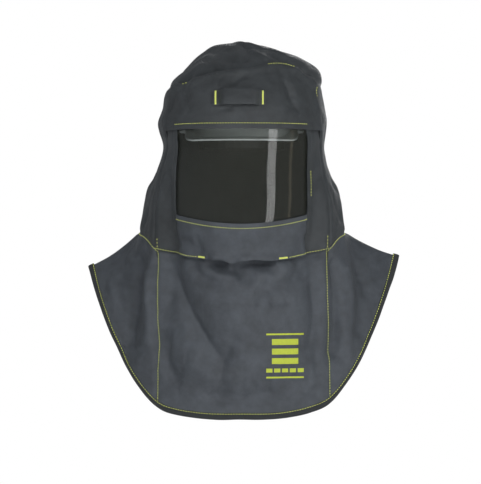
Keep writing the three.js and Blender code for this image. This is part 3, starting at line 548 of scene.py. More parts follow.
class HoodSurface:
    """The sewn form as a surface of angle and level, with its folds."""

    def __init__(self, sizes):
        self.sizes = sizes
        self.folds = []
        across, down = self.ends(FRONT_FOLDS, "across"), self.ends(FRONT_FOLDS, "down")
        across, height = across * sizes.shoulder_half_width, -down * sizes.bib_drop
        self.add_folds(FRONT_FOLDS, *self.on_front(across, height))
        self.add_folds(ROUND_FOLDS, self.ends(ROUND_FOLDS, "angle"), self.ends(ROUND_FOLDS, "level"))
        self.main_folds = list(self.folds)
        self.add_folds(CREASES, *self.seen(self.ends(CREASES, "px"), self.ends(CREASES, "py")))

    @staticmethod
    def ends(table, word):
        """The three columns of a table that start with a word."""
        return np.stack([table.values[f"{word}{k}"] for k in (1, 2, 3)], 1)

    def add_folds(self, table, angles, levels):
        """Adds a bent path for each row of the table, by three places on it."""
        t = np.linspace(0, 1, 7)[:, None]
        for row, (a, b, c) in zip(table.rows, np.stack([angles, levels], -1)):
            line = (1 - t) ** 2 * a + 2 * t * (1 - t) * b + t**2 * c
            self.folds.append((self.form(line[:, 0], line[:, 1]), row["depth"], row["width"]))

    def form(self, angle, level):
        s = self.sizes
        angle, level = np.broadcast_arrays(np.asarray(angle, float), np.asarray(level, float))
        sideways, ahead = np.sin(np.radians(angle)), np.cos(np.radians(angle))
        at = functools.partial(SECTIONS.curve, "level", at=np.minimum(level, 1))
        front = ahead > 0
        flared = smoothstep(np.abs(sideways), *np.sin(np.radians((s.flare_start, s.flare_full))))
        flare = at("flare") * np.where(front, flared, 1)
        half_width = mix(s.hood_half_width * at("width"), s.neck_half_width, flare)
        depth = np.where(front, s.face_reach * at("front"), s.nape_reach * at("back"))
        sink = np.where(front, s.chin_drop, s.nape_drop) - s.neck_drop
        half_width, depth = np.maximum(half_width, SMALLEST_REACH), np.maximum(depth, SMALLEST_REACH)
        reach = rounded(sideways, ahead, half_width, depth, at("corner"))
        middle_share = 1 - (1 - np.abs(ahead)) ** SINK_BEND
        height = s.crown_height - at("fall") * (s.crown_height + s.neck_drop)
        height = height - at("dip") * sink * middle_share
        lean = s.crown_lean * at("lean")
        t = np.maximum(level - 1, 0)
        turned = np.abs((angle + 540) % 360 - 180)
        from_middle = np.where(turned > 90, 180 - turned, turned)
        middle_reach = np.where(front, s.bib_reach, s.cape_reach)
        middle_drop = np.where(front, s.bib_drop, s.cape_drop)
        hem_reach = mix(middle_reach, s.shoulder_half_width, HEM.curve("angle", "reach", from_middle))
        hem_height = -mix(s.shoulder_drop, middle_drop, HEM.curve("angle", "drop", from_middle))
        swell = np.sin(np.pi * np.minimum(t, 1))
        reach = mix(reach, hem_reach, t) + np.where(front, s.chest_bulge, s.blade_bulge) * swell * ahead**2
        height = mix(height, hem_height, t) - s.shoulder_dip * swell * sideways**4
        height = height + s.shoulder_tilt * t * sideways**3
        lean = mix(lean, s.cape_lean, np.minimum(2 * t, 1))
        return np.stack([lean + reach * sideways, -reach * ahead, height], -1)

    def normal(self, angle, level):
        step, turn_step = 0.004, 0.4
        across = self.form(angle + turn_step, level) - self.form(angle - turn_step, level)
        down = self.form(angle, level + step) - self.form(angle, np.maximum(level - step, 0))
        normal = unit(np.cross(down, across))
        return np.where((level < step)[..., None], np.array((0.0, 0.0, 1.0)), normal)

    def level_at(self, angle, height, lowest=1):
        height = np.broadcast_to(height, np.shape(angle))
        return falls_to(lambda level: self.form(angle, level)[..., 2], 0, lowest, height)

    def on_front(self, across, height):
        """The angle and level of points of the front that are seen at a place across and a height."""
        across, height = np.broadcast_arrays(np.asarray(across, float), np.asarray(height, float))

        def minus_x(angle):
            return -self.form(angle, self.level_at(angle, height, 2))[..., 0]

        angle = falls_to(minus_x, -90, 90, -across)
        return angle, self.level_at(angle, height, 2)

    def seen(self, px, py):
        """The angle and level of the points that the camera sees at a pixel of the photograph."""
        depth = np.full(np.shape(px), -self.sizes.face_reach)
        for _ in range(3):
            nearer = (CAMERA_DISTANCE + depth) / CAMERA_DISTANCE * METRES_PER_PIXEL
            across = CAMERA_PLACE.x + (px - FRAME_WIDTH / 2) * nearer
            height = CAMERA_PLACE.z - (py - FRAME_HEIGHT / 2) * nearer
            angle, level = self.on_front(across, height)
            depth = self.form(angle, level)[..., 1]
        return angle, level

    def looseness(self, points):
        """The share of the folds that is left: the shield keeps the cloth flat round the window."""
        s = self.sizes
        beside = np.abs(points[..., 0]) - s.window_half_width - s.shield_lap
        above = points[..., 2] + s.window_top - s.shield_lap
        below = -s.window_bottom - s.shield_lap / 2 - points[..., 2]
        clear = np.maximum(np.maximum(beside, above), np.maximum(below, 0))
        return np.where(points[..., 1] > 0, 1, smoothstep(clear, 0, s.shield_lap))

    def relief(self, points, folds):
        s = self.sizes
        lift = np.zeros(points.shape[:-1])
        for path, depth, width in folds:
            nearest = np.full(lift.shape, np.inf)
            for a, b in zip(path[:-1], path[1:]):
                along = np.clip(((points - a) @ (b - a)) / max((b - a) @ (b - a), TINY), 0, 1)
                foot = a + along[..., None] * (b - a)
                nearest = np.minimum(nearest, np.linalg.norm(points - foot, axis=-1))
            lift += depth * s.fold_depth * bell(nearest, width * s.fold_width)
        return lift * self.looseness(points)

    def cloth(self, angle, level):
        """The middle of the cloth with its main folds."""
        points = self.form(angle, level)
        return points + self.normal(angle, level) * self.relief(points, self.main_folds)[..., None]

    def crown_seam(self, angle):
        turned = np.where(angle > 180, angle - 360, angle)
        height = CROWN_SEAM.curve("angle", "height", turned) * self.sizes.crown_height
        return self.level_at(angle, height)

    def cloth_end(self, angle):
        """The level where the cloth ends and its binding starts."""
        lengths = np.linalg.norm(self.form(angle, 2) - self.form(angle, 1), axis=-1)
        return 2 - self.sizes.binding_width / lengths


def values_of(group):
    """The values of a property group in a named tuple, so that what is made from them can be cached."""
    names = list(type(group).__annotations__)
    values = (getattr(group, name) for name in names)
    return namedtuple("Values", names)(*(v if isinstance(v, (int, float)) else tuple(v) for v in values))


surface_from = functools.lru_cache(maxsize=2)(HoodSurface)


def hood_surface():
    return surface_from(values_of(bpy.context.scene.hood_form))


def finish_values():
    return values_of(bpy.context.scene.hood_finish)


def lengths_along(points, axis):
    steps = np.linalg.norm(np.diff(points, axis=axis), axis=-1)
    start = np.zeros_like(np.take(steps, [0], axis=axis))
    return np.concatenate([start, np.cumsum(steps, axis=axis)], axis=axis)


def joined(*runs):
    return np.concatenate([runs[0]] + [run[1:] for run in runs[1:]])


def straight(start, end, count):
    return mix(np.array(start, float), np.array(end, float), np.linspace(0, 1, count + 1)[:, None])


def places(angles, levels):
    return np.stack(np.broadcast_arrays(angles, levels), -1).astype(float)


def between(top, bottom, left, right):
    """Fills in the grid of angles and levels between a panel's four seams."""
    s = np.linspace(0, 1, len(top))[None, :, None]
    t = np.linspace(0, 1, len(left))[:, None, None]
    ruled = mix(top[None], bottom[None], t) + mix(left[:, None], right[:, None], s)
    return ruled - mix(mix(top[0], top[-1], s), mix(bottom[0], bottom[-1], s), t)


# The lower edge of the chin flap, in metres: its waves, how far up they reach, and how it stands off the bib.
FLAP_WAVES = Table("across width drop", [
    (-0.016, 0.008, 0.0045),
    (0.022, 0.020, -0.0028),
    (-0.040, 0.010, -0.0020),
])
WAVE_REACH = 0.012
FLAP_REACH = 0.016
FLAP_OPENING = 0.02
FLAP_WAVE_LENGTH = 0.017
FLAP_EDGES = {"chin_panel": ("bottom", 1.0), "bib_front": ("top", -1.6)}

# Each panel's piece, slot, how it is held and what it rests on, how its top, bottom, left and right edges are
# sewn, and how much the cloth between them is crumpled, in metres. The paired ones are there on both sides.
Panel = namedtuple("Panel", "piece slot held rests_on edges crumple")
PANELS = {
    "crown_panel": Panel("crown", "hood_cloth", "stretched", "hard_hat_shell", "- under - -", 0.0026),
    "forehead_panel": Panel("forehead", "hood_cloth", "hung", "crown_panel", "roll hem roll roll", 0.0018),
    "side_panel": Panel("side", "hood_cloth", "hung", "crown_panel", "seam seam seam seam", 0.0026),
    "back_panel": Panel("back", "hood_cloth", "hung", "crown_panel", "seam seam seam seam", 0.0028),
    "window_strip": Panel("strip", "hood_cloth", "hung", "forehead_panel", "under seam hem seam", 0.0006),
    "chin_panel": Panel("chin", "cape_cloth", "hung", "face_shield", "hem hem seam seam", 0.0012),
    "bib_front": Panel("bib", "cape_cloth", "draped", "chin_panel", "under bound seam seam", 0.0022),
    "front_wing": Panel("front_wing", "cape_cloth", "draped", "side_panel", "seam bound seam seam", 0.0026),
    "rear_wing": Panel("rear_wing", "cape_cloth", "draped", "side_panel", "seam bound seam seam", 0.0026),
    "cape_back": Panel("cape_back", "cape_cloth", "draped", "back_panel", "seam bound seam seam", 0.0026),
}
PAIRED = ("side_panel", "window_strip", "front_wing", "rear_wing")
SIDES = (("_right", -1), ("_left", 1))
EDGES = ("top", "bottom", "left", "right")

# The depth of an edge's groove in seam dips, and the height of its gathers in pucker heights.
GROOVES = {"seam": 1, "roll": 2}
GATHERS = {"seam": 1.6, "hem": 0.6, "roll": 1.6, "bound": 1}
STRIP_HEM_END = (0.62, 0.7)  # shares of the strip's length between which its hem turns into a seam
STRIP_SEAM_DEPTH = 0.6
ROLL_PLACE, ROLL_WIDTH = 2.4, 2  # in seam widths
UNDER_WIDTH = 2
HEM_FADE = 1.25

# The sizes of the swells, the creases and their warp across and down the cloth, in metres.
SWELL_SIZE = (0.055, 0.11)
SMALL_SWELL_SIZE = (0.02, 0.045)
CREASE_SIZE = (0.05, 0.09)
WARP, WARP_SIZE = 0.02, 0.06
CRUMPLE_EDGE = 0.016
LEAST_LOOSENESS = 0.25
LEAST_CUT = 0.31  # of the rectangle round a flat piece


def panel_grid(kind, side, surface, k):
    """The angles and levels of a panel with k fine faces along one face of its solid."""
    s = surface.sizes
    strip, chin, back, princess = s.strip_angle, s.chin_angle, s.back_seam_angle, s.princess_hem_angle
    chin_run = np.linspace(-chin, chin, CHIN_COLUMNS * k + 1)
    strip_run = np.linspace(chin, strip, STRIP_COLUMNS * k + 1)
    front_run = np.linspace(strip, 90, SHOULDER_COLUMNS * k + 1)
    rear_run = np.linspace(90, back, SHOULDER_COLUMNS * k + 1)
    back_run = np.linspace(back, 360 - back, BACK_COLUMNS * k + 1)
    forehead_run = joined(-strip_run[::-1], chin_run, strip_run)
    strip_top = np.array((strip - 1, surface.level_at(np.array(strip - 1.0), -s.window_top)))
    strip_rows = (WINDOW_ROWS + CHIN_ROWS) * k
    low_corner = -(s.window_bottom - s.window_bottom_rise)

    def corner(side, height):
        return np.array(surface.on_front(side * s.window_half_width, height))

    def strip_inner(side):
        top, bottom = corner(side, -s.window_top), corner(side, low_corner)
        foot = np.array((side * chin, 1))
        return joined(straight(top, bottom, WINDOW_ROWS * k), straight(bottom, foot, CHIN_ROWS * k))

    def strip_top_run(side):
        return straight(corner(side, -s.window_top), strip_top * (side, 1), STRIP_COLUMNS * k)

    def forehead_edge(side):
        top = np.array((side * strip, surface.crown_seam(np.array(side * float(strip)))))
        return straight(top, strip_top * (side, 1), FOREHEAD_ROWS * k)

    def strip_edge(side):
        return straight(strip_top * (side, 1), (side * strip, 1), strip_rows)

    def back_edge(side):
        angle = side * float(back)
        top = angle, surface.crown_seam(np.array(angle))
        return straight(top, (angle, 1), FOREHEAD_ROWS * k + strip_rows)

    def at_neck(angles):
        share = np.clip((np.abs(angles) - strip) / (90 - strip), 0, 1)
        rise = s.neck_rise * np.sin(np.pi * share**NECK_RISE_BEND)
        raised = surface.level_at(angles, surface.form(angles, 1)[..., 2] + rise)
        return places(angles, np.where(rise > 0, raised, 1))

    def at_seam(angles):
        return places(angles, surface.crown_seam(angles))

    def at_hem(angles):
        return places(angles, surface.cloth_end(angles))

    def princess_seam(start, end):
        share = np.linspace(0, 1, CAPE_ROWS * k + 1)
        hem = surface.cloth_end(np.array(float(end)))
        return places(mix(start, end, share**PRINCESS_TURN), mix(1, hem, share))

    def shoulder_line():
        return straight((90, 1), (90, surface.cloth_end(np.array(90.0))), CAPE_ROWS * k)

    if kind == "crown_panel":
        half = joined(front_run, rear_run, np.linspace(back, 180, BACK_COLUMNS // 2 * k + 1))
        angles = joined(-half[::-1], forehead_run, half)[:-1]
        seam = surface.crown_seam(angles)
        return np.stack([places(angles, seam * share) for share in np.linspace(0, 1, CROWN_ROWS * k + 1)])
    if kind == "forehead_panel":
        top_corners = [corner(side, -s.window_top)[0] for side in (-1, 1)]
        window_run = np.linspace(*top_corners, CHIN_COLUMNS * k + 1)
        window = places(window_run, surface.level_at(window_run, -s.window_top))
        bottom = joined(strip_top_run(-1)[::-1], window, strip_top_run(1))
        return between(at_seam(forehead_run), bottom, forehead_edge(-1), forehead_edge(1))
    if kind == "window_strip":
        foot = places(side * strip_run, 1)
        return between(strip_top_run(side), foot, strip_inner(side), strip_edge(side))[:, ::side]
    if kind == "chin_panel":
        low_corners = [corner(side, low_corner)[0] for side in (-1, 1)]
        run = np.linspace(*low_corners, CHIN_COLUMNS * k + 1)
        share = surface.form(run, 0.9)[:, 0] / s.window_half_width
        top = places(run, surface.level_at(run, -s.window_bottom + s.window_bottom_rise * share**2))
        edges = [strip_inner(side)[-CHIN_ROWS * k - 1 :] for side in (-1, 1)]
        return between(top, places(chin_run, 1), *edges)
    if kind == "side_panel":
        angles = side * joined(front_run, rear_run)
        front_edge = joined(forehead_edge(side), strip_edge(side))
        return between(at_seam(angles), at_neck(angles), front_edge, back_edge(side))[:, ::side]
    if kind == "back_panel":
        far = back_edge(-1) + (360, 0)
        return between(at_seam(back_run), places(back_run, 1), back_edge(1), far)
    if kind == "bib_front":
        seam = princess_seam(strip, princess)
        return between(places(forehead_run, 1), at_hem(forehead_run * princess / strip), seam * (-1, 1), seam)
    if kind == "front_wing":
        hem = at_hem(np.linspace(princess, 90, len(front_run)))
        grid = between(at_neck(front_run), hem, princess_seam(strip, princess), shoulder_line())
        return grid[:, ::side] * (side, 1)
    near = princess_seam(back, 180 - princess)
    if kind == "rear_wing":
        hem = at_hem(np.linspace(90, 180 - princess, len(rear_run)))
        grid = between(places(rear_run, 1), hem, shoulder_line(), near)
        return grid[:, ::side] * (side, 1)
    hem = np.linspace(180 - princess, 180 + princess, len(back_run))
    return between(places(back_run, 1), at_hem(hem), near, (360, 0) + near * (-1, 1))


def grid_normals(points, wrap):
    """Outward normals of a grid of points whose rows run down."""
    down = np.gradient(points, axis=0)
    if wrap:
        across = np.roll(points, -1, axis=1) - np.roll(points, 1, axis=1)
    else:
        across = np.gradient(points, axis=1)
    return unit(np.cross(down, across))


class Patch:
    """One panel of cloth on a fine grid: its places, normals, and distances from its four edges."""

    def __init__(self, kind, side, surface, look):
        panel = PANELS[kind]
        edges = panel.edges.split()
        if side < 0:
            edges[2], edges[3] = edges[3], edges[2]
        self.wrap = kind == "crown_panel"
        grid = panel_grid(kind, side, surface, look.fineness)
        angle, level = grid[..., 0], grid[..., 1]
        flat = surface.form(angle, level)
        self.from_left, self.from_top = lengths_along(flat, 1), lengths_along(flat, 0)
        self.distance = {
            "left": self.from_left,
            "right": self.from_left[:, -1:] - self.from_left,
            "top": self.from_top,
            "bottom": self.from_top[-1:] - self.from_top,
        }
        middle_line = self.from_left[:, -1:] / 2
        self.uv = flat[..., :2] if self.wrap else np.stack([self.from_left - middle_line, self.from_top], -1)
        seed = sum(map(ord, kind)) + (5 if side < 0 else 0)
        lift = surface.relief(flat, surface.folds) + self.sewn_shape(dict(zip(EDGES, edges)), look)
        lift += self.crumple(panel.crumple, seed) * np.maximum(surface.looseness(flat), LEAST_LOOSENESS)
        if kind in FLAP_EDGES:
            lift += self.flap_shape(flat[..., 0], look, *FLAP_EDGES[kind])
        self.middle = flat + surface.normal(angle, level) * lift[..., None]
        if kind == "chin_panel":
            for row in FLAP_WAVES.rows:
                wave = row["drop"] * bell(flat[..., 0] - row["across"], row["width"])
                self.middle[..., 2] -= wave * bell(self.distance["bottom"], WAVE_REACH)
        self.normals = grid_normals(self.middle, self.wrap)
        if self.wrap:
            self.normals[:2] = (0, 0, 1)
        diagonals = np.cross(flat[1:, 1:] - flat[:-1, :-1], flat[1:, :-1] - flat[:-1, 1:])
        self.area = np.linalg.norm(diagonals, axis=-1).sum() / 2
        self.thickness = surface.sizes.cloth_thickness
        self.outer = self.middle + self.normals * self.thickness / 2

    def cut(self):
        """The width, length and area of the flat piece that the panel was cut from."""
        if self.wrap:
            across = 2 * self.from_top[-1].max()
            return (across, across), max(self.area, LEAST_CUT * across * across)
        flat = (float(self.from_left[:, -1].max()), float(self.from_top[-1].max()))
        return flat, float(np.clip(self.area, LEAST_CUT * flat[0] * flat[1], flat[0] * flat[1]))

    def sewn_shape(self, edges, look):
        """Grooves along the seams, turned-in hems and the small gathers beside them."""
        lift = np.zeros_like(self.from_top)
        for number, (edge, kind) in enumerate(edges.items()):
            distance = self.distance[edge]
            along = self.from_left if edge in ("top", "bottom") else self.from_top
            spot = np.stack([along / look.pucker_pitch, distance / (3 * look.pucker_pitch)], -1)
            groove = bell(distance, look.seam_width)
            fade = (1 - groove) * np.exp(-distance / (2 * look.pucker_pitch))
            lift += GATHERS.get(kind, 0) * look.pucker_height * noise(spot, number) * fade
            lift -= GROOVES.get(kind, 0) * look.seam_dip * groove
            if kind == "hem":
                step = look.hem_step * (1 - smoothstep(distance, look.hem_width, look.hem_width * HEM_FADE))
                if edge in ("left", "right"):
                    seam_share = smoothstep(self.from_top / self.from_top[-1:], *STRIP_HEM_END)
                    step = mix(step, -look.seam_dip * STRIP_SEAM_DEPTH * groove, seam_share)
                lift += step
            elif kind == "roll":
                rolled = bell(distance - ROLL_PLACE * look.seam_width, ROLL_WIDTH * look.seam_width)
                lift += look.roll_height * rolled
            elif kind == "under":
                lift -= look.under_dip * bell(distance, UNDER_WIDTH * look.seam_width)
        return lift

    def crumple(self, height, seed):
        """Uneven swells and thin creases that die out at the seams."""
        if self.wrap:
            nearest, spot = self.distance["bottom"], self.uv
        else:
            nearest = np.minimum.reduce(list(self.distance.values()))
            spot = np.stack([self.from_left, self.from_top], -1)
        warp = WARP * np.stack([noise(spot / WARP_SIZE, seed + n) for n in (1, 2)], -1)
        swell = noise((spot + warp) / SWELL_SIZE, seed + 3)
        small = noise((spot + warp) / SMALL_SWELL_SIZE, seed + 4)
        ridge = 1 - np.abs(noise((spot + 2 * warp) / CREASE_SIZE, seed + 5)) * 2
        crease = np.maximum(ridge, 0) ** 6
        return height * (0.75 * swell + 0.3 * small - 0.45 * crease) * (1 - bell(nearest, CRUMPLE_EDGE))

    def flap_shape(self, x, look, edge, share):
        """The chin flap stands off the bib, and most between its two bar tacks."""
        opened = smoothstep(x, look.tack_left, look.tack_left + FLAP_OPENING)
        opened = opened * (1 - smoothstep(x, look.tack_right - FLAP_OPENING, look.tack_right))
        waves = 0.7 * noise_along(x, FLAP_WAVE_LENGTH, 9)
        near = bell(self.distance[edge], FLAP_REACH)
        return look.flap_lift * share * near * (0.3 + opened * (1.1 + waves))

    def run(self, edge, inset):
        """The line on the outer face that lies inset from an edge, as points and normals."""
        axis = 0 if edge in ("top", "bottom") else 1
        distance = np.moveaxis(self.distance[edge], axis, -1)
        fields = np.moveaxis(np.concatenate([self.outer, self.normals], -1), axis, -2)
        if edge in ("bottom", "right"):
            distance, fields = distance[:, ::-1], fields[:, ::-1]
        line = np.array([sampled(inset, d, f) for d, f in zip(distance, fields)])
        return line[:, :3], unit(line[:, 3:])


patch_from = functools.lru_cache(maxsize=None)(Patch)


def patch(kind, side=1):
    return patch_from(kind, side, hood_surface(), finish_values())


def mesh_object(name, points, faces, uv=None, material=None, sharp=50):
    """A smooth mesh object with sharp edges where its faces meet at more than an angle."""
    mesh = bpy.data.meshes.new(name)
    mesh.from_pydata(np.asarray(points).tolist(), [], [list(map(int, face)) for face in faces])
    mesh.update()
    if uv is not None:
        layer = mesh.uv_layers.new(name="weave")
        order = np.empty(len(mesh.loops), np.int32)
        mesh.loops.foreach_get("vertex_index", order)
        layer.data.foreach_set("uv", np.asarray(uv, np.float32)[order].ravel())
    mesh.shade_smooth()
    mesh.set_sharp_from_angle(angle=math.radians(sharp))
    obj = bpy.data.objects.new(name, mesh)
    bpy.context.scene.collection.objects.link(obj)
    if material:
        mesh.materials.append(material)
    return obj


def plate(middle, normals, thickness, wrap=False):
    """Points and faces of a closed solid between two faces that lie thickness apart."""
    rows, columns = middle.shape[:2]
    half = normals * (thickness / 2)
    points = np.concatenate([(middle + half).reshape(-1, 3), (middle - half).reshape(-1, 3)])
    index = np.arange(rows * columns).reshape(rows, columns)
    if wrap:
        index = np.hstack([index, index[:, :1]])
    count = rows * columns
    a, b, c, d = index[:-1, :-1], index[1:, :-1], index[1:, 1:], index[:-1, 1:]
    top, bottom, left, right = index[0], index[-1], index[:, 0], index[:, -1]
    quads = [
        (a, b, c, d),
        (a + count, d + count, c + count, b + count),
        (top[:-1], top[1:], top[1:] + count, top[:-1] + count),
        (bottom[:-1], bottom[:-1] + count, bottom[1:] + count, bottom[1:]),
    ]
    if not wrap:
        quads.append((left[:-1], left[:-1] + count, left[1:] + count, left[1:]))
        quads.append((right[:-1], right[1:], right[1:] + count, right[:-1] + count))
    return points, np.concatenate([np.stack(quad, -1).reshape(-1, 4) for quad in quads])


def place_piece(obj, slot, *nodes):
    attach(obj, BODY)
    if nodes:
        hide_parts(*nodes)
    return obj


def cloth_panels(*kinds):
    """Makes panels of cloth in place of their solids, on both sides where they are paired."""
    for suffix, side in SIDES if kinds[0] in PAIRED else [("", 1)]:
        for kind in kinds:
            panel, made = PANELS[kind], patch(kind, side)
            points, faces = plate(made.middle, made.normals, made.thickness, made.wrap)
            uv = np.concatenate([made.uv.reshape(-1, 2)] * 2)
            obj = mesh_object(panel.piece + "_cloth" + suffix, points, faces, uv, cloth_finish(panel.slot))
            place_piece(obj, panel.slot, kind + suffix)
            flat, area = made.cut()
    return DONE


class Wire:
    """An output socket; an expression on it adds the Math nodes."""

    def __init__(self, nodes, socket):
        self.nodes = nodes
        self.socket = socket

    def joined_by(self, operation, *values):
        return self.nodes.node("ShaderNodeMath", {"operation": operation}, dict(enumerate(values)))

    def __add__(self, other):
        return self.joined_by("ADD", self, other)

    def __sub__(self, other):
        return self.joined_by("SUBTRACT", self, other)

    def __rsub__(self, other):
        return self.joined_by("SUBTRACT", other, self)

    def __mul__(self, other):
        return self.joined_by("MULTIPLY", self, other)

    __radd__, __rmul__ = __add__, __mul__

    def sine(self):
        return self.joined_by("SINE", self)


class Nodes:
    """A node tree that starts empty."""

    def __init__(self, tree):
        self.tree = tree
        self.tree.nodes.clear()

    def node(self, kind, settings=None, sockets=None, output=0):
        """Adds a node: its settings are set first, and then its sockets get their values or links."""
        made = self.tree.nodes.new(kind)
        for name, value in (settings or {}).items():
            setattr(made, name, value)
        for name, value in (sockets or {}).items():
            self.feed(made.inputs[name], value)
        return Wire(self, made.outputs[output]) if made.outputs else made

    def feed(self, socket, value):
        if isinstance(value, Wire):
            self.tree.links.new(value.socket, socket)
        else:
            socket.default_value = value


class Finish(Nodes):
    """A procedural material round one Principled shader."""

    COLOURS = 6, 7  # the colour sockets of a Mix node
    COLOUR_RESULT = 2

    def __init__(self, name):
        self.material = bpy.data.materials.new(name)
        self.material.use_nodes = True
        super().__init__(self.material.node_tree)
        surface = self.node("ShaderNodeBsdfPrincipled")
        self.shader = surface.socket.node
        self.node("ShaderNodeOutputMaterial", sockets={"Surface": surface})

    def set(self, **values):
        """Feeds the shader's sockets and gives the finished material."""
        for name, value in values.items():
            self.feed(self.shader.inputs[name.replace("_", " ").title().replace("Ior", "IOR")], value)
        return self.material

    def place(self):
        return self.node("ShaderNodeTexCoord", output="Object")

    def speckle(self, scale, detail=2.0, roughness=0.5):
        """Noise from 0 to 1 in object space; scale counts the blobs in a metre."""
        sockets = {"Vector": self.place(), "Scale": scale, "Detail": detail, "Roughness": roughness}
        return self.node("ShaderNodeTexNoise", sockets=sockets)

    def between(self, share, *colours):
        """A colour between two, by a share from 0 to 1."""
        sockets = {0: share, **{socket: (*value, 1) for socket, value in zip(self.COLOURS, colours)}}
        return self.node("ShaderNodeMix", {"data_type": "RGBA"}, sockets, self.COLOUR_RESULT)

    def shades(self, share, colour_value, *factors):
        """A colour made darker and lighter, by a share from 0 to 1."""
        return self.between(share, *([min(channel * f, 1.0) for channel in colour_value] for f in factors))

    def bump(self, height, distance, strength):
        sockets = {"Height": height, "Distance": distance, "Strength": strength}
        return self.node("ShaderNodeBump", sockets=sockets, output="Normal")

    def weave(self):
        """Distances across and down the cloth, in metres."""
        uv = self.node("ShaderNodeUVMap", {"uv_map": "weave"})
        split = self.node("ShaderNodeSeparateXYZ", sockets={"Vector": uv})
        return [Wire(self, socket) for socket in split.socket.node.outputs[:2]]


def waves_in(pitch):
    """The turns in a metre of a wave with this pitch."""
    return 2 * math.pi / pitch


@functools.lru_cache(maxsize=None)
def cloth_finish(slot):
    """Woven grey cloth: a fine twill, uneven dye, rubbed patches, a little lint, and a soft dent noise that
    shapes the bump and darkens the colour in its hollows as painted shade.
    """
    look = finish_values()
    base = look.hood_colour if slot == "hood_cloth" else look.cape_colour
    finish = Finish(slot + "_finish")
    u, v = finish.weave()
    turns = waves_in(TWILL_PITCH)
    twill = ((u + v) * turns).sine() * 0.6 + ((u - v) * (turns * 0.5)).sine() * 0.25
    twill = twill + (u * turns).sine() * 0.15
    dye = finish.speckle(14, 3.0)
    rubbed = finish.speckle(70, 4.0, 0.6)
    fibre = finish.speckle(1400, 1.0)
    dent_height_and_painted_shade = finish.speckle(30, 2.5, 0.55)
    # The dent noise also darkens the colour where the cloth sinks: painted shade in its hollows.
    share = (dye - 0.5) * 1.1 + (rubbed - 0.5) * 1.3 + (dent_height_and_painted_shade - 0.5) * 0.8
    share = share + fibre * 0.7 + twill * 0.05 + 0.15
    return finish.set(
        base_color=finish.shades(share, base, 0.7, 1.35),
        roughness=0.5 + rubbed * 0.16,
        normal=finish.bump(twill * 0.35 + rubbed * 1.6 + fibre * 0.5 + dent_height_and_painted_shade * 7.0, 0.0005, 0.7),
        sheen_weight=0.04,
        sheen_roughness=0.5,
        specular_ior_level=0.42,
    )


@functools.lru_cache(maxsize=None)
def binding_finish():
    """Dark ribbed tape."""
    finish = Finish("binding_finish")
    rib = (finish.weave()[0] * waves_in(RIB_PITCH)).sine()
    worn = finish.speckle(60, 4.0)
    return finish.set(
        base_color=finish.shades(worn + rib * 0.06, finish_values().binding_colour, 0.7, 1.6),
        roughness=0.7 + worn * 0.2,
        normal=finish.bump(rib * 0.4 + worn * 1.2, 0.0005, 0.6),
        sheen_weight=0.15,
        specular_ior_level=0.3,
    )


@functools.lru_cache(maxsize=None)
def thread_finish():
    """Twisted thread."""
    finish = Finish("thread_finish")
    fuzz = finish.speckle(900, 2.0)
    return finish.set(
        base_color=finish.shades(fuzz, finish_values().thread_colour, 0.72, 1.15),
        roughness=0.5 + fuzz * 0.2,
        normal=finish.bump(fuzz, 0.0003, 0.5),
        sheen_weight=0.2,
    )


@functools.lru_cache(maxsize=None)
def shield_finish():
    """Green-grey tinted sheet, clear enough to look through."""
    finish = Finish("shield_finish")
    smear = finish.speckle(9, 3.0)
    return finish.set(
        base_color=finish.shades(smear, finish_values().shield_colour, 0.85, 1.15),
        roughness=0.03 + smear * 0.05,
        alpha=0.25,
        ior=1.56,
    )


@functools.lru_cache(maxsize=None)
def plastic_finish(name, base, roughness, grain):
    """Moulded plastic with a fine grain and light scuffs."""
    finish = Finish(name)
    scuff = finish.speckle(35, 5.0, 0.65)
    fine = finish.speckle(grain, 1.0)
    return finish.set(
        base_color=finish.shades(scuff, base, 0.82, 1.15),
        roughness=roughness + scuff * 0.2,
        normal=finish.bump(fine * 0.6 + scuff, 0.0002, 0.4),
    )


@functools.lru_cache(maxsize=None)
def webbing_finish():
    """Black webbing with ribs across it."""
    finish = Finish("webbing_finish")
    settings = {"wave_type": "BANDS", "bands_direction": "DIAGONAL"}
    sockets = {"Vector": finish.place(), "Scale": 220.0, "Distortion": 0.3}
    ribs = finish.node("ShaderNodeTexWave", settings, sockets, "Fac")
    return finish.set(
        base_color=finish.between(ribs, (0.014, 0.014, 0.015), (0.04, 0.041, 0.043)),
        roughness=0.75 + ribs * 0.15,
        normal=finish.bump(ribs, 0.0005, 0.6),
    )


@functools.lru_cache(maxsize=None)
def print_finish():
    """Worn print on cloth."""
    finish = Finish("print_finish")
    worn = finish.speckle(300, 3.0)
    return finish.set(
        base_color=finish.shades(worn, finish_values().mark_colour, 0.75, 1.1),
        roughness=0.55 + worn * 0.2,
        normal=finish.bump(worn, 0.0003, 0.4),
    )


def resampled(points, normals, pitch):
    """Places a pitch apart along a line, with their directions and normals."""
    along = lengths_along(points, 0)
    count = max(int(along[-1] // pitch), 1)
    spots = (np.arange(count) + 0.5) * along[-1] / count
    direction = unit(sampled(spots + pitch / 3, along, points) - sampled(spots - pitch / 3, along, points))
    normal = unit(sampled(spots, along, normals))
    return sampled(spots, along, points), square_to(normal, direction), normal


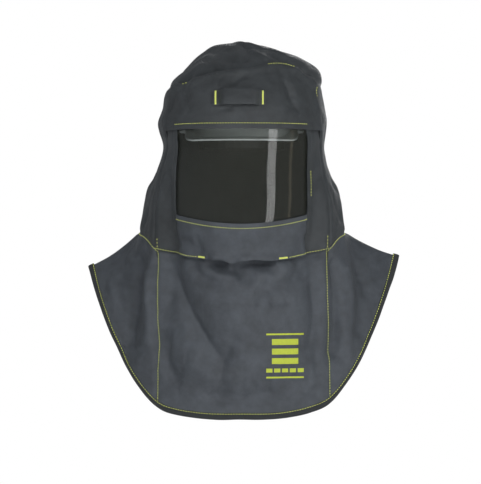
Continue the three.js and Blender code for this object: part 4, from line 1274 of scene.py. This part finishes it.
def threads(centre, direction, normal, reach, width):
    """Points and faces of short threads that bow up from the cloth and dive into it at both ends."""
    sides = THREAD_SIDES
    turns = np.arange(sides) * 2 * math.pi / sides
    across = np.cross(normal, direction)
    circle = across[:, None] * np.cos(turns)[:, None] + normal[:, None] * np.sin(turns)[:, None]
    rings = []
    for row in THREAD.rows:
        spine = centre + direction * row["along"] * reach / 2 + normal * row["height"] * width
        rings.append(spine[:, None] + row["size"] * width / 2 * circle)
    points = np.stack(rings, 1)
    count = points.shape[1] * sides
    i, j = np.meshgrid(np.arange(len(rings) - 1), np.arange(sides), indexing="ij")
    after = (j + 1) % sides
    quads = np.stack([i * sides + j, i * sides + after, (i + 1) * sides + after, (i + 1) * sides + j], -1)
    thread = [*quads.reshape(-1, 4).tolist(), list(range(sides))[::-1], list(range(count - sides, count))]
    faces = [[v + n * count for v in face] for n in range(len(centre)) for face in thread]
    return points.reshape(-1, 3), faces


def merged(parts):
    """Joins parts, each with its points and faces, into one."""
    points, faces, start = [], [], 0
    for part_points, part_faces in parts:
        points.append(part_points)
        faces += [[v + start for v in face] for face in part_faces]
        start += len(part_points)
    return np.concatenate(points), faces


def kept(run, axis, low, high):
    """The stretch of a line whose coordinate is between two values."""
    points, normals = run
    inside = (points[:, axis] >= low) & (points[:, axis] <= high)
    return points[inside], normals[inside]


def stitch_piece(name, runs, tacks=()):
    """Joins rows of stitches, and bar tacks made of close threads across their line, into one piece."""
    look = finish_values()
    rows = [(resampled(*run, look.stitch_pitch), look.stitch_length) for run in runs]
    for run in tacks:
        centre, direction, normal = resampled(*run, look.thread_width * TACK_PITCH)
        rows.append(((centre, np.cross(normal, direction), normal), look.tack_width))
    parts = [threads(*spots, reach, look.thread_width) for spots, reach in rows]
    obj = mesh_object(name, *merged(parts), None, thread_finish(), ROUND_SHARP)
    return place_piece(obj, "cape_cloth")


class HoodOperator:
    """Options that all the operators share."""

    bl_options = {"REGISTER", "UNDO"}


class HOOD_OT_crown(HoodOperator, bpy.types.Operator):
    """Makes the round panel on top of the hood"""

    bl_idname = "hood.crown"
    bl_label = "Crown"

    def execute(self, context):
        return cloth_panels("crown_panel")


class HOOD_OT_forehead(HoodOperator, bpy.types.Operator):
    """Makes the panel above the window"""

    bl_idname = "hood.forehead"
    bl_label = "Forehead"

    def execute(self, context):
        return cloth_panels("forehead_panel")


class HOOD_OT_sides(HoodOperator, bpy.types.Operator):
    """Makes the two side panels and the back panel"""

    bl_idname = "hood.sides"
    bl_label = "Sides and back"

    def execute(self, context):
        cloth_panels("side_panel")
        return cloth_panels("back_panel")


class HOOD_OT_window_frame(HoodOperator, bpy.types.Operator):
    """Makes the strips beside the window and the chin panel under it"""

    bl_idname = "hood.window_frame"
    bl_label = "Window frame"

    def execute(self, context):
        cloth_panels("window_strip")
        return cloth_panels("chin_panel")


class HOOD_OT_cape(HoodOperator, bpy.types.Operator):
    """Makes the bib, the four wings and the back of the cape"""

    bl_idname = "hood.cape"
    bl_label = "Cape"

    def execute(self, context):
        cloth_panels("bib_front")
        cloth_panels("front_wing", "rear_wing")
        return cloth_panels("cape_back")


def binding_run():
    """The binding's middle round the hem, and its directions down and outward."""
    surface, look = hood_surface(), finish_values()
    angles = np.linspace(-180, 180, BINDING_STEPS * look.fineness + 1)[:-1]
    top = surface.cloth(angles, surface.cloth_end(angles))
    foot = surface.cloth(angles, np.full_like(angles, 2.0))
    down = unit(foot - top)
    normal = square_to(down, surface.normal(angles, np.full_like(angles, 1.99)))
    return mix(top - down * look.binding_lap, foot, 0.5), down, normal


def squarer(value, power):
    return np.sign(value) * np.abs(value) ** power


class HOOD_OT_binding(HoodOperator, bpy.types.Operator):
    """Makes the dark tape that is folded round the whole hem"""

    bl_idname = "hood.binding"
    bl_label = "Hem binding"

    def execute(self, context):
        s = hood_surface().sizes
        middle, down, normal = binding_run()
        sides = BINDING_SIDES
        turns = np.arange(sides) * 2 * math.pi / sides
        half_width = (s.binding_width + finish_values().binding_lap) / 2 + BINDING_SLACK[0]
        wide = squarer(np.cos(turns), 0.6) * half_width
        thick = squarer(np.sin(turns), 0.7) * (s.binding_thickness / 2 + BINDING_SLACK[1])
        along = lengths_along(np.vstack([middle, middle[:1]]), 0)
        uneven = 1 + 0.2 * noise_along(along[:-1], 0.013, 3)
        sway = 0.0007 * noise_along(along[:-1], 0.03, 4)
        points = middle[:, None] + down[:, None] * (wide[None, :] + sway[:, None])[..., None]
        points = points + normal[:, None] * (thick[None, :] * uneven[:, None])[..., None]
        i, j = np.meshgrid(np.arange(len(middle)), np.arange(sides), indexing="ij")
        ahead, after = (i + 1) % len(middle), (j + 1) % sides
        faces = np.stack([i * sides + j, ahead * sides + j, ahead * sides + after, i * sides + after], -1)
        uv = np.stack(np.broadcast_arrays(along[:-1, None], wide[None, :]), -1).reshape(-1, 2)
        faces = faces.reshape(-1, 4)
        obj = mesh_object("binding_tape", points.reshape(-1, 3), faces, uv, binding_finish(), ROUND_SHARP)
        place_piece(obj, "binding", "hem_binding")
        return DONE


class HOOD_OT_lamp_loop(HoodOperator, bpy.types.Operator):
    """Makes the band on the forehead that holds a lamp, with a bar tack at each end"""

    bl_idname = "hood.lamp_loop"
    bl_label = "Lamp loop"

    def execute(self, context):
        surface = hood_surface()
        s = surface.sizes
        along, up = np.meshgrid(np.linspace(-0.5, 0.5, LOOP_GRID[0]), np.linspace(0.5, -0.5, LOOP_GRID[1]))
        across, height = s.loop_shift + along * s.loop_length, -s.loop_drop + up * s.loop_width
        angle, level = surface.on_front(across, height)
        tack = s.loop_tack_width / s.loop_length
        from_end = smoothstep(0.5 - np.abs(along) - tack, 0, 1.5 * tack)
        lift = s.cloth_thickness / 2 + LOOP_CLEARANCE + s.loop_thickness / 2 + s.loop_stand_off * from_end
        lift = lift - LOOP_EDGE_DIP * np.abs(up * 2) ** 8
        lift = lift + LOOP_UNEVEN * noise(np.stack([along / 0.16, up / 0.5], -1), 21)
        form = surface.form(angle, level)
        lift = lift + surface.relief(form, surface.main_folds)
        points = form + surface.normal(angle, level) * lift[..., None]
        normals = grid_normals(points, False)
        solid, faces = plate(points, normals, s.loop_thickness)
        uv = np.stack([along * s.loop_length, up * s.loop_width], -1).reshape(-1, 2)
        obj = mesh_object("lamp_band", solid, faces, np.concatenate([uv, uv]), cloth_finish("hood_cloth"))
        place_piece(obj, "hood_cloth", "lamp_loop")
        outer = points + normals * s.loop_thickness / 2
        tacks = [(outer[1:-1, column], normals[1:-1, column]) for column in LOOP_TACK_COLUMNS]
        stitch_piece("loop_bar_tacks", [], tacks)
        return DONE


class HOOD_OT_stitching(HoodOperator, bpy.types.Operator):
    """Makes the bright topstitching along the window, chin, princess seams, crown and hem"""

    bl_idname = "hood.stitching"
    bl_label = "Stitching"

    def execute(self, context):
        look, s = finish_values(), hood_surface().sizes
        chin_line = patch("chin_panel").run("bottom", CHIN_INSET)
        tacks = [
            kept(chin_line, 0, TACK_ENDS[0], look.tack_left),
            kept(chin_line, 0, look.tack_right, TACK_ENDS[1]),
        ]
        for name, rows in STITCH_ROWS.items():
            runs = [kept(patch(*panel).run(*line), *ends) for panel, line, ends in rows]
            stitch_piece(name, runs, tacks if name == "chin_stitching" else ())
        middle, down, normal = binding_run()
        inner = middle - down * ((s.binding_width + look.binding_lap) / 2 - HEM_STITCH_INSET)
        inner = inner + normal * (s.binding_thickness / 2 - HEM_STITCH_SINK)
        stitch_piece("hem_stitching", [[np.vstack([line, line[:1]]) for line in (inner, normal)]])
        return DONE


class HOOD_OT_shield(HoodOperator, bpy.types.Operator):
    """Makes the curved shield behind the window"""

    bl_idname = "hood.shield"
    bl_label = "Face shield"

    def execute(self, context):
        surface = hood_surface()
        s = surface.sizes
        rows, columns = SHIELD_GRID
        down, across = np.meshgrid(np.linspace(0, 1, rows), np.linspace(-1, 1, columns), indexing="ij")
        height = mix(-s.window_top + s.shield_lap, -s.window_bottom - s.shield_side_lap, down)
        height = height + down * s.window_bottom_rise * across**2
        edge, _ = surface.on_front(s.window_half_width + s.shield_side_lap, height)
        angle = across * edge
        depth = s.cloth_thickness / 2 + s.shield_clearance + s.shield_thickness / 2
        level = surface.level_at(angle, height)
        points = surface.form(angle, level) - surface.normal(angle, level) * depth
        solid, faces = plate(points, grid_normals(points, False), s.shield_thickness)
        place_piece(mesh_object("shield_sheet", solid, faces, None, shield_finish()), "shield", "face_shield")
        return DONE


def hat_form(s, angle, level):
    """The hat from its top, level 0, to the foot of its wall, level 1, and out to its rim."""
    sideways, ahead = np.sin(np.radians(angle)), np.cos(np.radians(angle))
    wall, out = np.minimum(level, 1), np.maximum(level - 1, 0) / BRIM_LEVELS
    visor = smoothstep(ahead, *np.cos(np.radians((s.visor_end_angle, s.visor_full_angle))))
    lip = mix(s.rim_reach, s.visor_reach, visor)
    reach = rounded(sideways, ahead, s.hat_half_width, s.hat_half_length, HAT_CORNER)
    foot = -s.hat_rim_drop + s.rim_lift * (1 - visor) + lip * BRIM_SLOPE
    height = s.hat_top - (s.hat_top - foot) * HAT.curve("level", "fall", wall) - lip * BRIM_SLOPE * out
    far = reach * HAT.curve("level", "reach", wall) + lip * out
    return np.stack([far * sideways, -far * ahead, height], -1)


class HOOD_OT_hard_hat(HoodOperator, bpy.types.Operator):
    """Makes the hard hat's shell with its visor and a rim that stands out"""

    bl_idname = "hood.hard_hat"
    bl_label = "Hard hat"

    def execute(self, context):
        s = hood_surface().sizes
        levels = np.linspace(0, 1 + BRIM_LEVELS, HAT_GRID[0])
        level, angle = np.meshgrid(levels, np.linspace(-180, 180, HAT_GRID[1])[:-1], indexing="ij")
        points = hat_form(s, angle, level)
        normals = grid_normals(points, True)
        normals[:2] = (0, 0, 1)
        solid, faces = plate(points, normals, s.hat_thickness, True)
        material = plastic_finish("hat_finish", finish_values().hat_colour, 0.22, 500)
        place_piece(mesh_object("hat_shell", solid, faces, None, material), "hat", "hard_hat_shell")
        return DONE


class HOOD_OT_suspension(HoodOperator, bpy.types.Operator):
    """Gives the headband, straps, hangers and carrier their finishes"""

    bl_idname = "hood.suspension"
    bl_label = "Suspension"

    def execute(self, context):
        band = plastic_finish("band_finish", finish_values().band_colour, 0.45, 800)
        for name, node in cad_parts.items():
            if name.startswith(("crown_strap", "headband", "band_hanger", "shield_carrier")):
                node.data.materials.clear()
                node.data.materials.append(webbing_finish() if name.startswith("crown_strap") else band)
        return DONE


class HOOD_OT_chest_marks(HoodOperator, bpy.types.Operator):
    """Prints a plain stack of bars on the bib"""

    bl_idname = "hood.chest_marks"
    bl_label = "Chest marks"

    def execute(self, context):
        bib, thickness = patch("bib_front"), finish_values().print_thickness
        surface = BVHTree.FromPolygons(*plate(bib.middle, bib.normals, bib.thickness))
        parts = []
        for row in CHEST_BARS.rows:
            gap = BLOCK_GAP if row["count"] > 1 else 0
            pitch = (row["right"] - row["left"]) / (row["count"] - gap)
            reach = pitch * (1 - gap)
            sizes = reach, row["top"] - row["foot"]
            columns, rows = (max(round(size / PRINT_GRID), 1) + 1 for size in sizes)
            height = np.linspace(row["top"], row["foot"], rows)
            for left in (row["left"] + i * pitch for i in range(row["count"])):
                x, z = np.meshgrid(np.linspace(left, left + reach, columns), height)
                hits = [surface.ray_cast((a, -1, b), (0, 1, 0)) for a, b in zip(x.flat, z.flat)]
                spots, normals = (np.array([hit[k] for hit in hits]).reshape(*x.shape, 3) for k in (0, 1))
                parts.append(plate(spots + normals * thickness * PRINT_STAND_OFF, normals, thickness))
        place_piece(mesh_object("chest_bars", *merged(parts), None, print_finish()), "cape_cloth")
        return DONE


def area_light(name, place, width, height, power, tint):
    light = bpy.data.lights.new(name, "AREA")
    light.shape = "RECTANGLE"
    light.size, light.size_y = width, height
    light.energy = power
    light.color = tint
    obj = bpy.data.objects.new(name, light)
    obj.location = place
    obj.rotation_mode = "QUATERNION"
    obj.rotation_quaternion = (Vector(LIGHT_TARGET) - Vector(place)).to_track_quat("-Z", "Y")
    bpy.context.scene.collection.objects.link(obj)


class HOOD_OT_stage(HoodOperator, bpy.types.Operator):
    """Sets up the camera, the pale floor and the soft lights"""

    bl_idname = "hood.stage"
    bl_label = "Stage"

    def execute(self, context):
        scene = context.scene
        camera = bpy.data.cameras.new("camera")
        camera.sensor_width = SENSOR
        camera.lens = SENSOR * CAMERA_DISTANCE / (max(FRAME_WIDTH, FRAME_HEIGHT) * METRES_PER_PIXEL)
        camera.clip_end = 100
        eye = bpy.data.objects.new("camera", camera)
        eye.location = CAMERA_PLACE
        eye.rotation_euler = (math.pi / 2, 0, 0)
        scene.collection.objects.link(eye)
        scene.camera = eye
        square = ((-1, -1), (1, -1), (1, 1), (-1, 1))
        corners = [(x * FLOOR_HALF, y * FLOOR_HALF, FLOOR_HEIGHT) for x, y in square]
        pale = Finish("floor_finish").set(base_color=(0.86, 0.86, 0.86, 1), roughness=0.8)
        mesh_object("floor", corners, [(0, 1, 2, 3)], None, pale)
        for light in LIGHTS:
            area_light(*light)
        world = bpy.data.worlds.new("studio")
        scene.world = world
        world.use_nodes = True
        nodes = Nodes(world.node_tree)
        room, backdrop = (
            nodes.node("ShaderNodeBackground", sockets={"Color": shade, "Strength": strength})
            for shade, strength in (((0.9, 0.95, 1, 1), 0.32), ((1, 1, 1, 1), 1.0))
        )
        rays = nodes.node("ShaderNodeLightPath", output="Is Camera Ray")
        blend = nodes.node("ShaderNodeMixShader", sockets={0: rays, 1: room, 2: backdrop})
        nodes.node("ShaderNodeOutputWorld", sockets={"Surface": blend})
        scene.view_settings.view_transform = "Standard"
        scene.view_settings.look = "None"
        return DONE


PIECE_OPERATORS = (
    HOOD_OT_stage,
    HOOD_OT_crown,
    HOOD_OT_forehead,
    HOOD_OT_sides,
    HOOD_OT_window_frame,
    HOOD_OT_cape,
    HOOD_OT_binding,
    HOOD_OT_lamp_loop,
    HOOD_OT_stitching,
    HOOD_OT_shield,
    HOOD_OT_hard_hat,
    HOOD_OT_suspension,
    HOOD_OT_chest_marks,
)


class HOOD_PT_sidebar(bpy.types.Panel):
    """Lists the operators, sizes and colours of the hood"""

    bl_idname = "HOOD_PT_sidebar"
    bl_label = "Arc flash hood"
    bl_space_type = "VIEW_3D"
    bl_region_type = "UI"
    bl_category = "Hood"

    def draw(self, context):
        layout = self.layout
        for operator in PIECE_OPERATORS:
            layout.operator(operator.bl_idname)
        for group in (context.scene.hood_form, context.scene.hood_finish):
            for name in type(group).__annotations__:
                layout.prop(group, name)


CLASSES = (HoodForm, HoodFinish, *PIECE_OPERATORS, HOOD_PT_sidebar)


def register():
    for made in CLASSES:
        bpy.utils.register_class(made)
    bpy.types.Scene.hood_form = PointerProperty(type=HoodForm)
    bpy.types.Scene.hood_finish = PointerProperty(type=HoodFinish)


def unregister():
    del bpy.types.Scene.hood_finish
    del bpy.types.Scene.hood_form
    for made in reversed(CLASSES):
        bpy.utils.unregister_class(made)


def main():
    register()
    for operator in PIECE_OPERATORS:
        group, name = operator.bl_idname.split(".")
        getattr(getattr(bpy.ops, group), name)()


if __name__ == "__main__":
    main()
